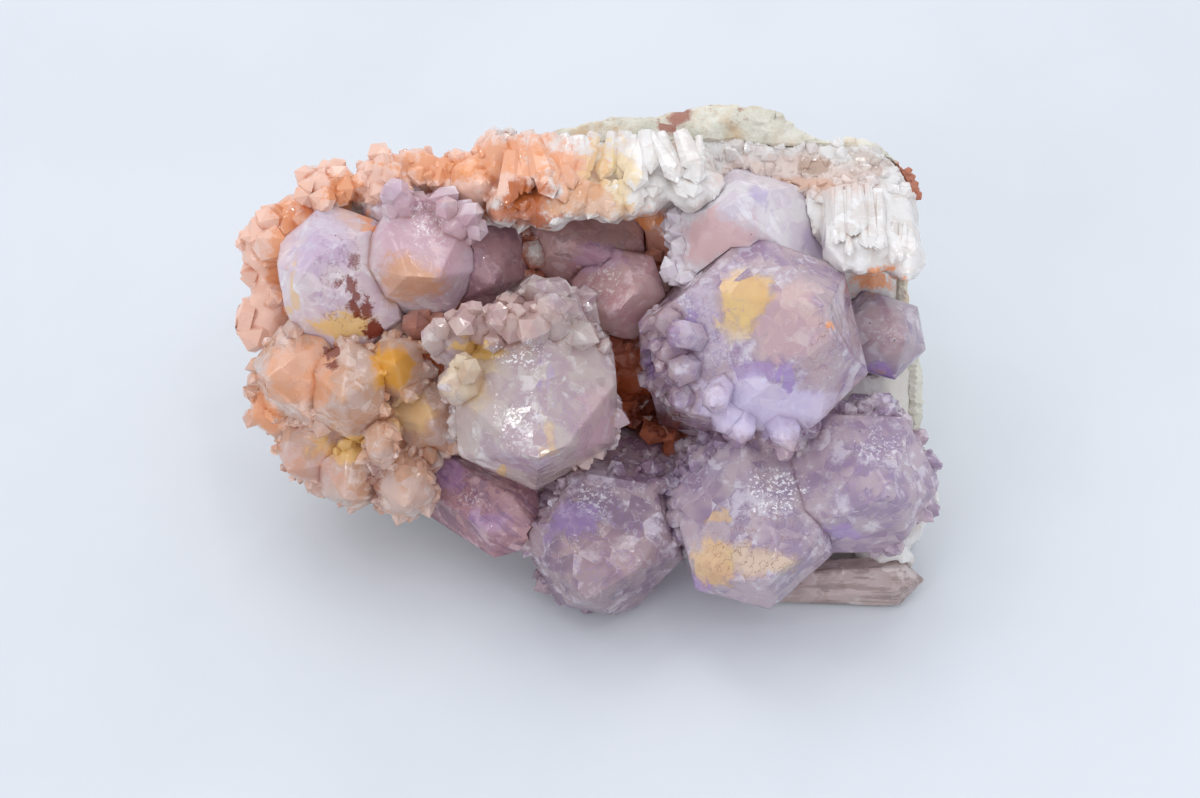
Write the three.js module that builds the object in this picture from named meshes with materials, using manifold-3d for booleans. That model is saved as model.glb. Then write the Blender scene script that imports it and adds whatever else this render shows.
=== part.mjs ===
// Spirit quartz on matrix: a loose hand specimen, about 80 mm wide.
// Pale amethyst points, each coated with small second-growth crystals, stand on a band of white
// columnar quartz that is still bonded to a rind of grey-green host rock.
// Millimetres, +Z up. The specimen rests on the flat broken underside of its matrix.
//
// Everything is placed in the growth frame: X runs across the specimen, Y runs up its growth face
// and Z stands out from that face, the way most points grow. Last of all the growth frame is
// leaned back by GROWTH_LEAN, which is how the specimen lies on a table.
import * as THREE from "three";
import { ConvexGeometry } from "three/addons/geometries/ConvexGeometry.js";
import { mergeVertices } from "three/addons/utils/BufferGeometryUtils.js";
import Module from "manifold-3d";

const wasm = await Module();
wasm.setup();

// Driving dimensions, in millimetres and degrees.
const GROWTH_LEAN = 45;
const TABLE_DEPTH = 24; // how far the middle of the growth frame stands above the table
const GAP = 0.3; // clearance left between one piece and the next
const RHOMB_SLOPE = 51.8; // quartz: from the long axis to the normal of a termination face
const RIM_LEVEL = -9.5; // growth-frame height of the widest line round the matrix, at its middle
const RIM_SLOPE = 0.14; // and how fast that line rises towards the top of the growth face
const MATRIX_BACK = -33; // the matrix reaches this far behind the growth face
const FACE_LEVEL = -3.5; // general level of the surface that the points grow from
const RIND_THICKNESS = 6; // host rock behind the quartz band
const ROOT_COVER = 1; // matrix left over the roots of the crystals at its edge
const TABLE_CLEARANCE = 0.5; // the points end this far above the table
const SIDE_ROOT = 0.75; // second-growth crystals start this share of the way out to the prism face
const LUMP_SIZE = 1.2; // how far the matrix swells and sinks
const LUMP_WAVELENGTH = 8; // and how far apart its lumps are
const FAR = 200; // edge of the blocks that cut flat faces

// Second-growth crystals: how far each points out and forward, and its reach, as shares of its radius.
const SIDE_OUT = [0.7, 1];
const SIDE_FORWARD = [0.4, 1.1];
const SIDE_REACH = [2.2, 3];
const CRUST_REACH = [1.9, 2.9];
const CRUST_FOOT = 1; // a crust crystal's foot is this deep in the matrix
const CRUST_SPREAD = 0.35; // how far a crust crystal leans away from its row's way
const BLADE_VARIATION = [0.85, 1.15]; // of a blade's reach and radius
const BLADE_SEED = 81;
const CRUST_SEED = 71;

// Surface looks.
const QUARTZ_ROUGHNESS = 0.15;
const BAND_COLOUR = 0xe9ddd2;
const BAND_ROUGHNESS = 0.35;
const ROCK_COLOUR = 0xa9a48f;
const ROCK_ROUGHNESS = 0.9;

// The finest steps that the geometry tells apart.
const WELD = 1e-4; // points this close are one
const SAME_CORNER = 1e-3; // corners this close are one
const ALMOST_PARALLEL = 1e-4; // three faces that meet at less than this share no corner
const OUTSIDE_SLACK = 1e-6; // a point this far outside a face still counts as on it

const NOISE_OFFSET = 50; // sets the three directions of the lumps apart
const X = 0;
const Y = 1;
const Z = 2;

// Repeatable random numbers from 0 to 1.
function randomFrom(seed) {
  let state = seed >>> 0;
  return () => {
    state = (state + 0x6d2b79f5) >>> 0;
    let mixed = Math.imul(state ^ (state >>> 15), 1 | state);
    mixed = (mixed + Math.imul(mixed ^ (mixed >>> 7), 61 | mixed)) ^ mixed;
    return ((mixed ^ (mixed >>> 14)) >>> 0) / 4294967296;
  };
}

// A random number between the two in a range.
function between(random, [low, high]) {
  return low + (high - low) * random();
}

// Smooth random relief from -1 to 1, for lumps of a given wavelength.
function corner(i, j, k) {
  const dot = i * 127.1 + j * 311.7 + k * 74.7;
  const wave = Math.sin(dot) * 43758.5453;
  return (wave - Math.floor(wave)) * 2 - 1;
}

function relief(x, y, z, wavelength) {
  const cell = [x, y, z].map((value) => Math.floor(value / wavelength));
  const ease = [x, y, z].map((value, axis) => {
    const t = value / wavelength - cell[axis];
    return t * t * (3 - 2 * t);
  });
  let sum = 0;
  for (let bits = 0; bits < 8; bits++) {
    const step = [bits & 1, (bits >> 1) & 1, (bits >> 2) & 1];
    const share = step.reduce((weight, on, axis) => weight * (on ? ease[axis] : 1 - ease[axis]), 1);
    sum += share * corner(cell[X] + step[X], cell[Y] + step[Y], cell[Z] + step[Z]);
  }
  return sum;
}

// Solids and booleans.
function solidOf(geometry) {
  geometry.deleteAttribute("normal");
  geometry.deleteAttribute("uv");
  const merged = mergeVertices(geometry, WELD);
  return new wasm.Manifold(
    new wasm.Mesh({
      numProp: 3,
      vertProperties: merged.attributes.position.array,
      triVerts: new Uint32Array(merged.index.array),
    }),
  );
}

function geometryOf(solid) {
  const mesh = solid.getMesh();
  const position = new THREE.BufferAttribute(mesh.vertProperties, 3);
  const geometry = new THREE.BufferGeometry().setAttribute("position", position);
  geometry.setIndex(new THREE.BufferAttribute(mesh.triVerts, 1));
  return geometry;
}

function joined(solids) {
  return solids.reduce((whole, solid) => whole.add(solid));
}

// The largest piece, once a cut has left slivers beside it.
function mainPiece(solid) {
  return solid.decompose().sort((a, b) => b.volume() - a.volume())[0];
}

// A block whose one face lies `distance` out along `normal`, with all of it beyond that face.
function blockBeyond(normal, distance) {
  const away = new THREE.Vector3(...normal).normalize();
  const block = new THREE.BoxGeometry(FAR, FAR, FAR);
  block.translate(0, 0, FAR / 2 + distance);
  block.applyQuaternion(new THREE.Quaternion().setFromUnitVectors(new THREE.Vector3(0, 0, 1), away));
  return solidOf(block);
}

// A quartz crystal as the flat faces that bound it: six prism faces, six termination faces and a root.
// foot and tip are its axis ends, radius is the distance from the axis to a prism face, spin turns it.
// flats scales each prism face's distance, and heads takes each termination face down by so much.
function crystalFaces({ foot, tip, radius, spin = 0, flats = [], heads = [] }) {
  const root = new THREE.Vector3(...foot);
  const axis = new THREE.Vector3(...tip).sub(root);
  const length = axis.length();
  axis.normalize();
  const across = new THREE.Vector3(1, 0, 0);
  if (Math.abs(axis.x) > 0.9) across.set(0, 1, 0);
  across.addScaledVector(axis, -axis.dot(across)).normalize();
  const up = new THREE.Vector3().crossVectors(axis, across);
  const tilt = THREE.MathUtils.degToRad(RHOMB_SLOPE);
  const faces = [{ normal: axis.clone().negate(), reach: 0 }];
  for (let k = 0; k < 6; k++) {
    const turn = THREE.MathUtils.degToRad(spin + 60 * k);
    const side = across.clone().multiplyScalar(Math.cos(turn)).addScaledVector(up, Math.sin(turn));
    faces.push({ normal: side, reach: radius * (flats[k] ?? 1) });
    const head = side.clone().multiplyScalar(Math.sin(tilt)).addScaledVector(axis, Math.cos(tilt));
    faces.push({ normal: head, reach: length * Math.cos(tilt) - (heads[k] ?? 0) });
  }
  return { root, axis, across, up, length, radius, faces };
}

// The solid inside those faces, each moved out by `grow`.
function insideFaces({ root, faces }, grow = 0) {
  const corners = [];
  for (let a = 0; a < faces.length; a++)
    for (let b = a + 1; b < faces.length; b++)
      for (let c = b + 1; c < faces.length; c++) {
        const [p, q, r] = [faces[a], faces[b], faces[c]];
        const cross = new THREE.Vector3().crossVectors(q.normal, r.normal);
        const volume = p.normal.dot(cross);
        if (Math.abs(volume) < ALMOST_PARALLEL) continue;
        const point = cross.multiplyScalar(p.reach + grow);
        point.addScaledVector(new THREE.Vector3().crossVectors(r.normal, p.normal), q.reach + grow);
        point.addScaledVector(new THREE.Vector3().crossVectors(p.normal, q.normal), r.reach + grow);
        point.divideScalar(volume);
        const outside = faces.some((face) => face.normal.dot(point) > face.reach + grow + OUTSIDE_SLACK);
        if (outside || corners.some((other) => other.distanceTo(point) < SAME_CORNER)) continue;
        corners.push(point);
      }
  return solidOf(new ConvexGeometry(corners.map((point) => point.add(root))));
}

// A crystal that stands at foot and reaches that far along a way.
function crystalFrom(foot, way, reach, radius, spin) {
  const tip = foot.clone().addScaledVector(way.clone().normalize(), reach);
  return { foot: foot.toArray(), tip: tip.toArray(), radius, spin };
}

// Second-growth crystals that stand round a crystal's sides, pointing out and a little forward.
// They start `from` to `to` of the way up the prism, between the azimuths `arc`, in degrees.
function sideGrowth(parent, { count, seed, size = [0.8, 1.5], from = 0.3, to = 0.8, arc = [0, 360] }) {
  const random = randomFrom(seed);
  const shoulder = parent.length - parent.radius * Math.tan(THREE.MathUtils.degToRad(RHOMB_SLOPE));
  const made = [];
  for (let i = 0; i < count; i++) {
    const turn = THREE.MathUtils.degToRad(arc[0] + ((arc[1] - arc[0]) * (i + random())) / count);
    const out = parent.across.clone().multiplyScalar(Math.cos(turn));
    out.addScaledVector(parent.up, Math.sin(turn));
    const radius = between(random, size);
    const height = shoulder * between(random, [from, to]);
    const foot = parent.root.clone().addScaledVector(parent.axis, height);
    foot.addScaledVector(out, parent.radius * SIDE_ROOT);
    const way = out.clone().multiplyScalar(between(random, SIDE_OUT));
    way.addScaledVector(parent.axis, between(random, SIDE_FORWARD));
    const reach = radius * between(random, SIDE_REACH) + parent.radius * (1 - SIDE_ROOT);
    made.push(crystalFrom(foot, way, reach, radius, 60 * random()));
  }
  return made;
}

// The crystals, listed from the front of the specimen to the back. Where two neighbours meet, the
// one further back is cut. Each entry is one piece: the crystals in it are grown together.
const FRONT_RIGHT = {
  foot: [15.5, 0.5, -9],
  tip: [25.2, 4.2, 19.5],
  radius: 10.2,
  spin: 14,
  flats: [0.95, 1, 0.98, 0.93, 0.98, 1],
  heads: [0.4, 0.6, 2.6, 4.6, 2.2, 0],
};
const CENTRE = {
  foot: [-7.2, 0.8, -9],
  tip: [-4.6, -10.2, 15.6],
  radius: 8.9,
  spin: 1,
  flats: [1, 0.98, 0.93, 1, 1, 0.98],
  heads: [0, 1.6, 2.2, 0.3, 0, 0.4],
};
const LOWER_MIDDLE = {
  foot: [3.2, -14.6, -13],
  tip: [0.9, -26.4, 10.2],
  radius: 7.7,
  spin: 22,
  flats: [1, 1, 1, 0.96, 0.94, 1],
  heads: [0.2, 2.4, 0.8, 0, 0, 1.2],
};
const LOWER_RIGHT = {
  foot: [16.4, -14.4, -12],
  tip: [20.2, -22.4, 14.6],
  radius: 8.2,
  spin: 12,
  flats: [0.98, 1.02, 1, 0.95, 1, 1],
  heads: [0, 3.2, 4.4, 0.6, 0, 0.2],
};
const RIGHT = {
  foot: [29.2, -12.2, -12],
  tip: [32, -16, 13],
  radius: 8,
  spin: 28,
  flats: [1, 1, 1, 1, 0.96, 0.9],
  heads: [0, 0.4, 1.8, 0, 1.6, 0],
};
const UPPER_RIGHT = {
  foot: [20.2, 9.5, -13],
  tip: [17.8, 17.6, 9.6],
  radius: 8.2,
  spin: 8,
  flats: [1.02, 0.98, 0.98, 1, 1, 1],
  heads: [3, 1.2, 0.4, 0, 1.8, 2.4],
};
const UPPER_LEFT = {
  foot: [-26.4, 8.2, -14],
  tip: [-30.2, 9.8, 10.4],
  radius: 7,
  spin: 10,
  flats: [0.86, 1.12, 1.1, 0.82, 1.12, 1.1],
  heads: [2.6, 1.2, 0.6, 0, 0.8, 1.4],
};
const UPPER_LEFT_NEIGHBOUR = {
  foot: [-20.4, 13.6, -12],
  tip: [-18.6, 8.9, 7.6],
  radius: 6.2,
  spin: 26,
  heads: [0, 1.4, 0.4, 0.2, 1.2, 0],
};

const PIECES = [
  {
    name: "centre_quartz_point",
    crystals: [CENTRE, { foot: [-4.2, 4.4, -6], tip: [-2.9, 5, 6.6], radius: 2.9, spin: 20 }],
    sides: [{ of: 0, count: 9, seed: 11, arc: [72, 165], size: [1.4, 2.2], from: 0.3, to: 0.85 }],
    colour: 0xe6dbd8,
  },
  {
    name: "front_right_amethyst_point",
    crystals: [FRONT_RIGHT],
    sides: [{ of: 0, count: 12, seed: 21, arc: [165, 300], size: [1, 1.9], from: 0.35, to: 0.85 }],
    colour: 0xc9bfd8,
  },
  {
    name: "lower_right_amethyst_pair",
    crystals: [LOWER_RIGHT, RIGHT],
    sides: [{ of: 1, count: 6, seed: 31, arc: [-40, 130], size: [0.9, 1.4] }],
    colour: 0xcbbfd9,
  },
  {
    name: "lower_middle_amethyst_point",
    crystals: [LOWER_MIDDLE],
    sides: [{ of: 0, count: 9, seed: 41, arc: [100, 260], size: [0.9, 1.5] }],
    colour: 0xc6b7ce,
  },
  {
    name: "upper_left_quartz_pair",
    crystals: [UPPER_LEFT, UPPER_LEFT_NEIGHBOUR],
    sides: [{ of: 1, count: 6, seed: 51, arc: [20, 140], size: [1, 1.8] }],
    colour: 0xe0d4dc,
  },
  {
    name: "left_quartz_cluster",
    crystals: [
      { foot: [-26, -1, -12], tip: [-27.4, -4.6, 7.4], radius: 4.9, flats: [0.8, 1, 1, 0.8, 1, 1.1] },
      { foot: [-28, -0.6, -12], tip: [-36, -2.2, 5], radius: 5, spin: 20 },
      { foot: [-23, -1.6, -12], tip: [-21.6, -0.4, 4.6], radius: 3.2, spin: 14 },
      { foot: [-23.6, -6.4, -10], tip: [-23.4, -10.6, 5.6], radius: 2.3, spin: 8, flats: [0.6, 1, 1, 0.6] },
      { foot: [-21.6, -9, -13], tip: [-20.6, -16.6, 3.4], radius: 3.1, spin: 18 },
      { foot: [-26, -8, -14], tip: [-27.4, -15.6, 1.4], radius: 3.6, spin: 2 },
      { foot: [-27, -6, -14], tip: [-34.2, -12.6, -0.6], radius: 3.6, spin: 30 },
      { foot: [-29, -3.6, -14], tip: [-38.6, -6.4, -2.4], radius: 2.8, spin: 12 },
      { foot: [-19.4, -5, -12], tip: [-17.4, -7.4, 2.6], radius: 3.7, spin: 24 },
    ],
    sides: [],
    colour: 0xe3bfa6,
  },
  {
    name: "lower_left_amethyst_prism",
    crystals: [{ foot: [-20, -11.6, -11], tip: [-4.6, -20.8, 0.2], radius: 4, spin: 10 }],
    sides: [],
    colour: 0xb09ab4,
  },
  {
    name: "recess_amethyst_pair",
    crystals: [
      { foot: [-0.4, 14, -18], tip: [0.4, 11.4, 1.4], radius: 6.4, spin: 4, heads: [0, 1.2, 0, 0, 2, 1] },
      { foot: [2.4, 9.6, -18], tip: [4.2, 6.8, 4], radius: 4.8, spin: 18, heads: [0, 0.4, 1.4, 0, 0, 0.6] },
    ],
    sides: [],
    colour: 0xab8fa8,
  },
  {
    name: "recess_left_amethyst_point",
    crystals: [{ foot: [-15.8, 14.6, -15], tip: [-10.6, 8.6, 2], radius: 5.6, spin: 16 }],
    sides: [],
    colour: 0xa98a9a,
  },
  {
    name: "upper_right_amethyst_point",
    crystals: [UPPER_RIGHT],
    sides: [{ of: 0, count: 8, seed: 61, arc: [150, 300], size: [0.9, 1.6] }],
    colour: 0xd5c9d8,
  },
  {
    name: "right_edge_amethyst_point",
    crystals: [{ foot: [30.6, 3.6, -12], tip: [35.6, 2.2, 4.4], radius: 4.3, spin: 12 }],
    sides: [],
    colour: 0xb9a9b4,
  },
  {
    name: "bottom_smoky_prism",
    crystals: [{ foot: [19, -26.2, -7.6], tip: [38.6, -25.2, -4.6], radius: 2.3, spin: 25 }],
    sides: [],
    colour: 0xb9a49a,
  },
];

// The matrix. Its outline is seen square on to the growth face: [x, y, visible width of the rind].
// Where that width is negative, quartz reaches right through to the edge.
const OUTLINE = [
  [-34, 4, -3],
  [-33, 13, -3],
  [-28.5, 19.6, -2],
  [-18, 21.6, -1],
  [-9, 23.4, 1],
  [0, 27.4, 3.6],
  [8, 28.6, 4],
  [15.5, 29.2, 4.4],
  [22.4, 27.6, 3.6],
  [27, 25.8, 1.8],
  [33.4, 25.4, 1.4],
  [38.4, 21, 1.6],
  [37.2, 13, 1.4],
  [36.8, 6, 1],
  [38.8, -2, 1.6],
  [38.2, -10, 1],
  [39.2, -19, -1],
  [36.5, -24.2, -2],
  [26, -25.6, -3],
  [12, -25.4, -3],
  [0, -23.8, -3],
  [-10, -20, -3],
  [-22, -15, -3],
  [-31.4, -10.4, -3],
  [-34.6, -3, -3],
];
const OUTLINE_STEPS = 50;
const HEART = [1, 1]; // the whole outline can be seen from this point
const RING_SHARES = [0.3, 0.62, 0.88]; // of the way from the heart to the outline
const INNER_SHARES = [0.6, 0.9]; // the same, for the surface between the quartz band and the rind
const FRONT_BLUNTNESS = 6;
const BACK_BLUNTNESS = 3.4;

// Swellings and hollows of the growth face: where, how wide, how far out.
const FACE_FORMS = [
  { at: [5, -5], width: 8.5, out: -9 },
  { at: [1, 12], width: 9, out: -8 },
  { at: [9, 21], width: 7, out: 3 },
  { at: [-4, 21], width: 6, out: 2.5 },
  { at: [32, 15], width: 7, out: 5 },
  { at: [-26, 0], width: 10, out: 2 },
  { at: [36, -20], width: 5, out: 4 },
];

function faceLevel(x, y) {
  const swell = ({ at, width, out }) => {
    const far = ((x - at[X]) ** 2 + (y - at[Y]) ** 2) / width ** 2;
    return out * Math.exp(-far);
  };
  return FACE_LEVEL + FACE_FORMS.reduce((sum, form) => sum + swell(form), 0);
}

// A closed body of rings. Each level is { share, height(x, y, share) }, from the middle of the front,
// out over the rim, to the middle of the back. inset(rind) draws the outline in.
function ringedBody(levels, inset, roughen) {
  const edge = new THREE.CatmullRomCurve3(OUTLINE.map((point) => new THREE.Vector3(...point)), true);
  const points = [];
  const addPoint = (x, y, z) => points.push(...roughen(x, y, z));
  addPoint(...HEART, levels[0].height(...HEART, 0));
  for (const { share, height } of levels)
    for (let i = 0; i < OUTLINE_STEPS; i++) {
      const at = edge.getPoint(i / OUTLINE_STEPS);
      const spoke = new THREE.Vector2(at.x - HEART[X], at.y - HEART[Y]);
      spoke.setLength((spoke.length() - inset(at.z)) * share);
      const [x, y] = [HEART[X] + spoke.x, HEART[Y] + spoke.y];
      addPoint(x, y, height(x, y, share));
    }
  addPoint(...HEART, levels.at(-1).height(...HEART, 0));
  const last = points.length / 3 - 1;
  const onRing = (ring, i) => 1 + ring * OUTLINE_STEPS + (i % OUTLINE_STEPS);
  const index = [];
  for (let i = 0; i < OUTLINE_STEPS; i++) {
    index.push(0, onRing(0, i + 1), onRing(0, i));
    for (let ring = 0; ring < levels.length - 1; ring++) {
      const [a, b] = [onRing(ring, i), onRing(ring, i + 1)];
      const [c, d] = [onRing(ring + 1, i), onRing(ring + 1, i + 1)];
      index.push(a, b, c, b, d, c);
    }
    index.push(last, onRing(levels.length - 1, i), onRing(levels.length - 1, i + 1));
  }
  const geometry = new THREE.BufferGeometry();
  geometry.setAttribute("position", new THREE.Float32BufferAttribute(points, 3));
  geometry.setIndex(index);
  return solidOf(geometry);
}

// Lumps of broken rock: a shift of each point that varies smoothly from place to place.
function lumpy(size, wavelength) {
  return (x, y, z) => [
    x + size * relief(x, y, z + NOISE_OFFSET, wavelength),
    y + size * relief(x + NOISE_OFFSET, y, z, wavelength),
    z + size * relief(x, y + NOISE_OFFSET, z, wavelength),
  ];
}

// Growth-frame heights: the rim, and the front and back of the matrix, by share of the way to the rim.
const rimLevel = (y) => RIM_LEVEL + RIM_SLOPE * y;
const bulge = (rim, middle, share, bluntness) => rim + (middle - rim) * (1 - share ** bluntness);
const frontLevel = (x, y, share) => bulge(rimLevel(y), faceLevel(x, y), share, FRONT_BLUNTNESS);
const backLevel = (x, y, share) => bulge(rimLevel(y), MATRIX_BACK, share, BACK_BLUNTNESS);

function matrixBody() {
  const levels = [
    ...RING_SHARES.map((share) => ({ share, height: frontLevel })),
    { share: 1, height: frontLevel },
    ...RING_SHARES.toReversed().map((share) => ({ share, height: backLevel })),
  ];
  return ringedBody(levels, () => 0, lumpy(LUMP_SIZE, LUMP_WAVELENGTH));
}

// All the space in front of a surface that follows the back of the matrix, `cover` inside it.
function spaceBefore(cover, inset) {
  const cap = () => FAR / 4;
  const middle = MATRIX_BACK + cover;
  const back = (x, y, share) => bulge(rimLevel(y), middle, share, BACK_BLUNTNESS);
  const levels = [
    { share: 0.5, height: cap },
    { share: 1, height: cap },
    { share: 1, height: back },
    ...INNER_SHARES.toReversed().map((share) => ({ share, height: back })),
  ];
  return ringedBody(levels, inset, (...point) => point);
}

// The quartz band takes up the matrix in front of the rind.
const bandSpace = (grow) => spaceBefore(RIND_THICKNESS - grow, (rind) => rind - grow);

// Crystals may stand anywhere in front of the rim and above the table. Behind the rim they stay
// inside the band. This is that space, and `grow` beyond it.
function crystalSpace(grow) {
  const cover = ROOT_COVER - grow;
  const roots = spaceBefore(RIND_THICKNESS + cover, (rind) => Math.max(rind, 0) + cover);
  const rimFacing = new THREE.Vector3(0, -RIM_SLOPE, 1);
  const beforeRim = blockBeyond(rimFacing.toArray(), RIM_LEVEL / rimFacing.length() - grow);
  return roots.add(beforeRim).subtract(blockBeyond(TABLE_SIDE, TABLE_DEPTH - TABLE_CLEARANCE + grow));
}

// Flat breaks in the matrix: the way each faces, and how far out it lies.
const leanSine = Math.sin(THREE.MathUtils.degToRad(GROWTH_LEAN));
const leanCosine = Math.cos(THREE.MathUtils.degToRad(GROWTH_LEAN));
const TABLE_SIDE = [0, -leanSine, -leanCosine];
const BREAKS = [
  { facing: TABLE_SIDE, distance: TABLE_DEPTH },
  { facing: [-0.8, 0.2, -1], distance: 31 },
  { facing: [0.85, -0.1, -0.9], distance: 38 },
  { facing: [0.15, 0.8, -0.75], distance: 31 },
  { facing: [-0.35, 0.75, -0.6], distance: 30 },
  { facing: [0.3, 0.1, -1], distance: 31 },
  { facing: [-0.2, 0.25, -1], distance: 30.5 },
];

// Blades of columnar quartz that spread from the rind, up and out over the growth face. Each set runs
// along a row, opens by `swing` to either side, and goes the way of `slope`, which is [down, out].
const BLADES = [
  {
    row: [[-7, 21.6, -6.5], [-4, 21.6, -6.5]],
    swing: 0.5,
    slope: [-0.6, 1],
    count: 4,
    reach: 11,
    radius: 2,
  },
  {
    row: [[1.3, 23.4, -7], [4, 23.4, -7]],
    swing: 0.45,
    slope: [-0.68, 1],
    count: 5,
    reach: 12.5,
    radius: 1.9,
  },
  {
    row: [[8, 23.8, -7], [11, 23.8, -7]],
    swing: 0.5,
    slope: [-0.62, 1],
    count: 5,
    reach: 11.5,
    radius: 2,
  },
  {
    row: [[28.4, 18.6, -4], [36, 18.4, -5]],
    swing: 0.05,
    slope: [-0.78, 0.85],
    count: 5,
    reach: 13,
    radius: 2,
  },
];

function bladeCrystals({ row, swing, slope, count, reach, radius }, set) {
  const random = randomFrom(BLADE_SEED + set);
  const [start, end] = row.map((point) => new THREE.Vector3(...point));
  return Array.from({ length: count }, (_, i) => {
    const share = (i + 0.5) / count;
    const foot = start.clone().lerp(end, share);
    const way = new THREE.Vector3(swing * (2 * share - 1), ...slope);
    const vary = () => between(random, BLADE_VARIATION);
    return crystalFrom(foot, way, reach * vary(), radius * vary(), 60 * random());
  });
}

// Rows of small crystals that crust the matrix between the large points.
const CRUSTS = [
  {
    row: [[-31, 17.5, -7], [-35, 11, -8], [-35, 3, -9]],
    out: [-0.8, 0.1, 0.6],
    count: 6,
    size: [2.1, 3],
  },
  {
    row: [[-30, 18.8, -6], [-19, 20.4, -6], [-9, 20.2, -6]],
    out: [-0.1, 0.3, 0.9],
    count: 7,
    size: [2.3, 3.2],
  },
  {
    row: [[-24, 14, -5], [-14, 17, -5], [-8, 18, -5]],
    out: [0, 0, 1],
    count: 4,
    size: [2, 2.8],
  },
  {
    row: [[-32, -8, -12], [-22, -12, -14], [-12, -15, -14]],
    out: [-0.3, -0.6, 0.5],
    count: 5,
    size: [2, 2.9],
  },
  {
    row: [[6, 1, -11], [7, -6, -12], [10, -11, -10]],
    out: [0, 0.1, 1],
    count: 4,
    size: [1.5, 2.2],
  },
  {
    row: [[35.4, -14, -7], [35.8, -19, -8], [32, -22.5, -9]],
    out: [0.3, -0.3, 0.8],
    count: 4,
    size: [1.9, 2.6],
  },
];

function crustCrystals({ row, out, count, size }, set) {
  const random = randomFrom(CRUST_SEED + set);
  const spread = () => between(random, [-CRUST_SPREAD, CRUST_SPREAD]);
  const path = new THREE.CatmullRomCurve3(row.map((point) => new THREE.Vector3(...point)));
  return Array.from({ length: count }, (_, i) => {
    const foot = path.getPoint((i + 0.2 + 0.6 * random()) / count);
    const way = new THREE.Vector3(out[X] + spread(), out[Y] + spread(), out[Z] + spread());
    const radius = between(random, size);
    const reach = radius * between(random, CRUST_REACH) + CRUST_FOOT;
    return crystalFrom(foot, way, reach, radius, 60 * random());
  });
}

// Every crystal of a piece as faces: its main ones, and the second growth round their sides.
function crystalsOf({ crystals, sides }) {
  const mains = crystals.map(crystalFaces);
  const seconds = sides.flatMap((growth) => sideGrowth(mains[growth.of], growth)).map(crystalFaces);
  return [...mains, ...seconds];
}

const specimen = new THREE.Group();
function addPiece(name, solid, colour, roughness) {
  const material = new THREE.MeshStandardMaterial({ color: colour, roughness, metalness: 0 });
  const mesh = new THREE.Mesh(geometryOf(mainPiece(solid)), material);
  mesh.name = name;
  specimen.add(mesh);
}

// The points, each cut back from those in front of it.
const room = crystalSpace(0);
const roomAround = crystalSpace(GAP);
let taken = null;
for (const piece of PIECES) {
  const crystals = crystalsOf(piece);
  const whole = joined(crystals.map((crystal) => insideFaces(crystal))).intersect(room);
  const space = joined(crystals.map((crystal) => insideFaces(crystal, GAP))).intersect(roomAround);
  addPiece(piece.name, taken ? whole.subtract(taken) : whole, piece.colour, QUARTZ_ROUGHNESS);
  taken = taken ? taken.add(space) : space;
}

// The matrix: the rind behind, and the quartz band in front of it with its blades and crust.
const breakOff = (body, { facing, distance }) => body.subtract(blockBeyond(facing, distance));
const broken = BREAKS.reduce(breakOff, matrixBody());
const grownOn = [...BLADES.flatMap(bladeCrystals), ...CRUSTS.flatMap(crustCrystals)].map(crystalFaces);
const growth = joined(grownOn.map((crystal) => insideFaces(crystal))).intersect(room);
const growthSpace = joined(grownOn.map((crystal) => insideFaces(crystal, GAP)));
const band = broken.intersect(bandSpace(0)).add(growth);
const rind = broken.subtract(bandSpace(GAP)).subtract(growthSpace);
addPiece("columnar_quartz_base", band.subtract(taken), BAND_COLOUR, BAND_ROUGHNESS);
addPiece("host_rock_rind", rind.subtract(taken), ROCK_COLOUR, ROCK_ROUGHNESS);

// Lean the growth frame back, then stand it on the table with its middle over the origin.
specimen.rotation.x = THREE.MathUtils.degToRad(GROWTH_LEAN);
const part = new THREE.Group();
part.add(specimen);
part.updateMatrixWorld(true);
const box = new THREE.Box3().setFromObject(part, true);
specimen.position.set(-(box.min.x + box.max.x) / 2, -(box.min.y + box.max.y) / 2, -box.min.z);

export default part;
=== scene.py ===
# Spirit quartz on matrix: the looks of a loose hand specimen, dressed over its plain solids.
import math
from collections import namedtuple

import bmesh
import bpy
import numpy as np
from mathutils import Matrix, Vector
from mathutils.bvhtree import BVHTree


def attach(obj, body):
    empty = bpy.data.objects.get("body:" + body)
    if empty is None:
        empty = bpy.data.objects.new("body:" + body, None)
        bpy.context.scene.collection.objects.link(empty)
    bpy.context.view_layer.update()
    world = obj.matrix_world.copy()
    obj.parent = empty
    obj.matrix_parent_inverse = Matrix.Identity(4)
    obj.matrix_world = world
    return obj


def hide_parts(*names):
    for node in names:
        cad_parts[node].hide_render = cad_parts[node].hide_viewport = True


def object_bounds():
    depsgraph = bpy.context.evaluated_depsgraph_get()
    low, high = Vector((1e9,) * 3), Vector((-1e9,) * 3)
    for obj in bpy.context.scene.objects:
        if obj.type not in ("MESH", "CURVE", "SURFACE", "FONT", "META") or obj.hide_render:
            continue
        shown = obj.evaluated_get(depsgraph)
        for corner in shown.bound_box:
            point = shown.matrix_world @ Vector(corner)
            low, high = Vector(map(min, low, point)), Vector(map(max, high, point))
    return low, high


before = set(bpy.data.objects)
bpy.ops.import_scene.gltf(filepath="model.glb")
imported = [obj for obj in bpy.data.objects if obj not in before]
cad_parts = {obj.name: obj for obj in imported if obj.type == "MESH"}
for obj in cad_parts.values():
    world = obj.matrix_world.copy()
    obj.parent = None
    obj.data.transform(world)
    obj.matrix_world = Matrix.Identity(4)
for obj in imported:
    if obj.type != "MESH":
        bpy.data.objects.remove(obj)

cad_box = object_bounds()

# Places are given in the growth frame, in millimetres: X runs across the specimen, Y up its growth
# face, and Z out of that face. The growth frame leans back, and stands at GROWTH_ORIGIN.
MM = 0.001
GROWTH_LEAN = math.radians(45)
GROWTH_ORIGIN = (0.097, -3.702, 24.0)

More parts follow.
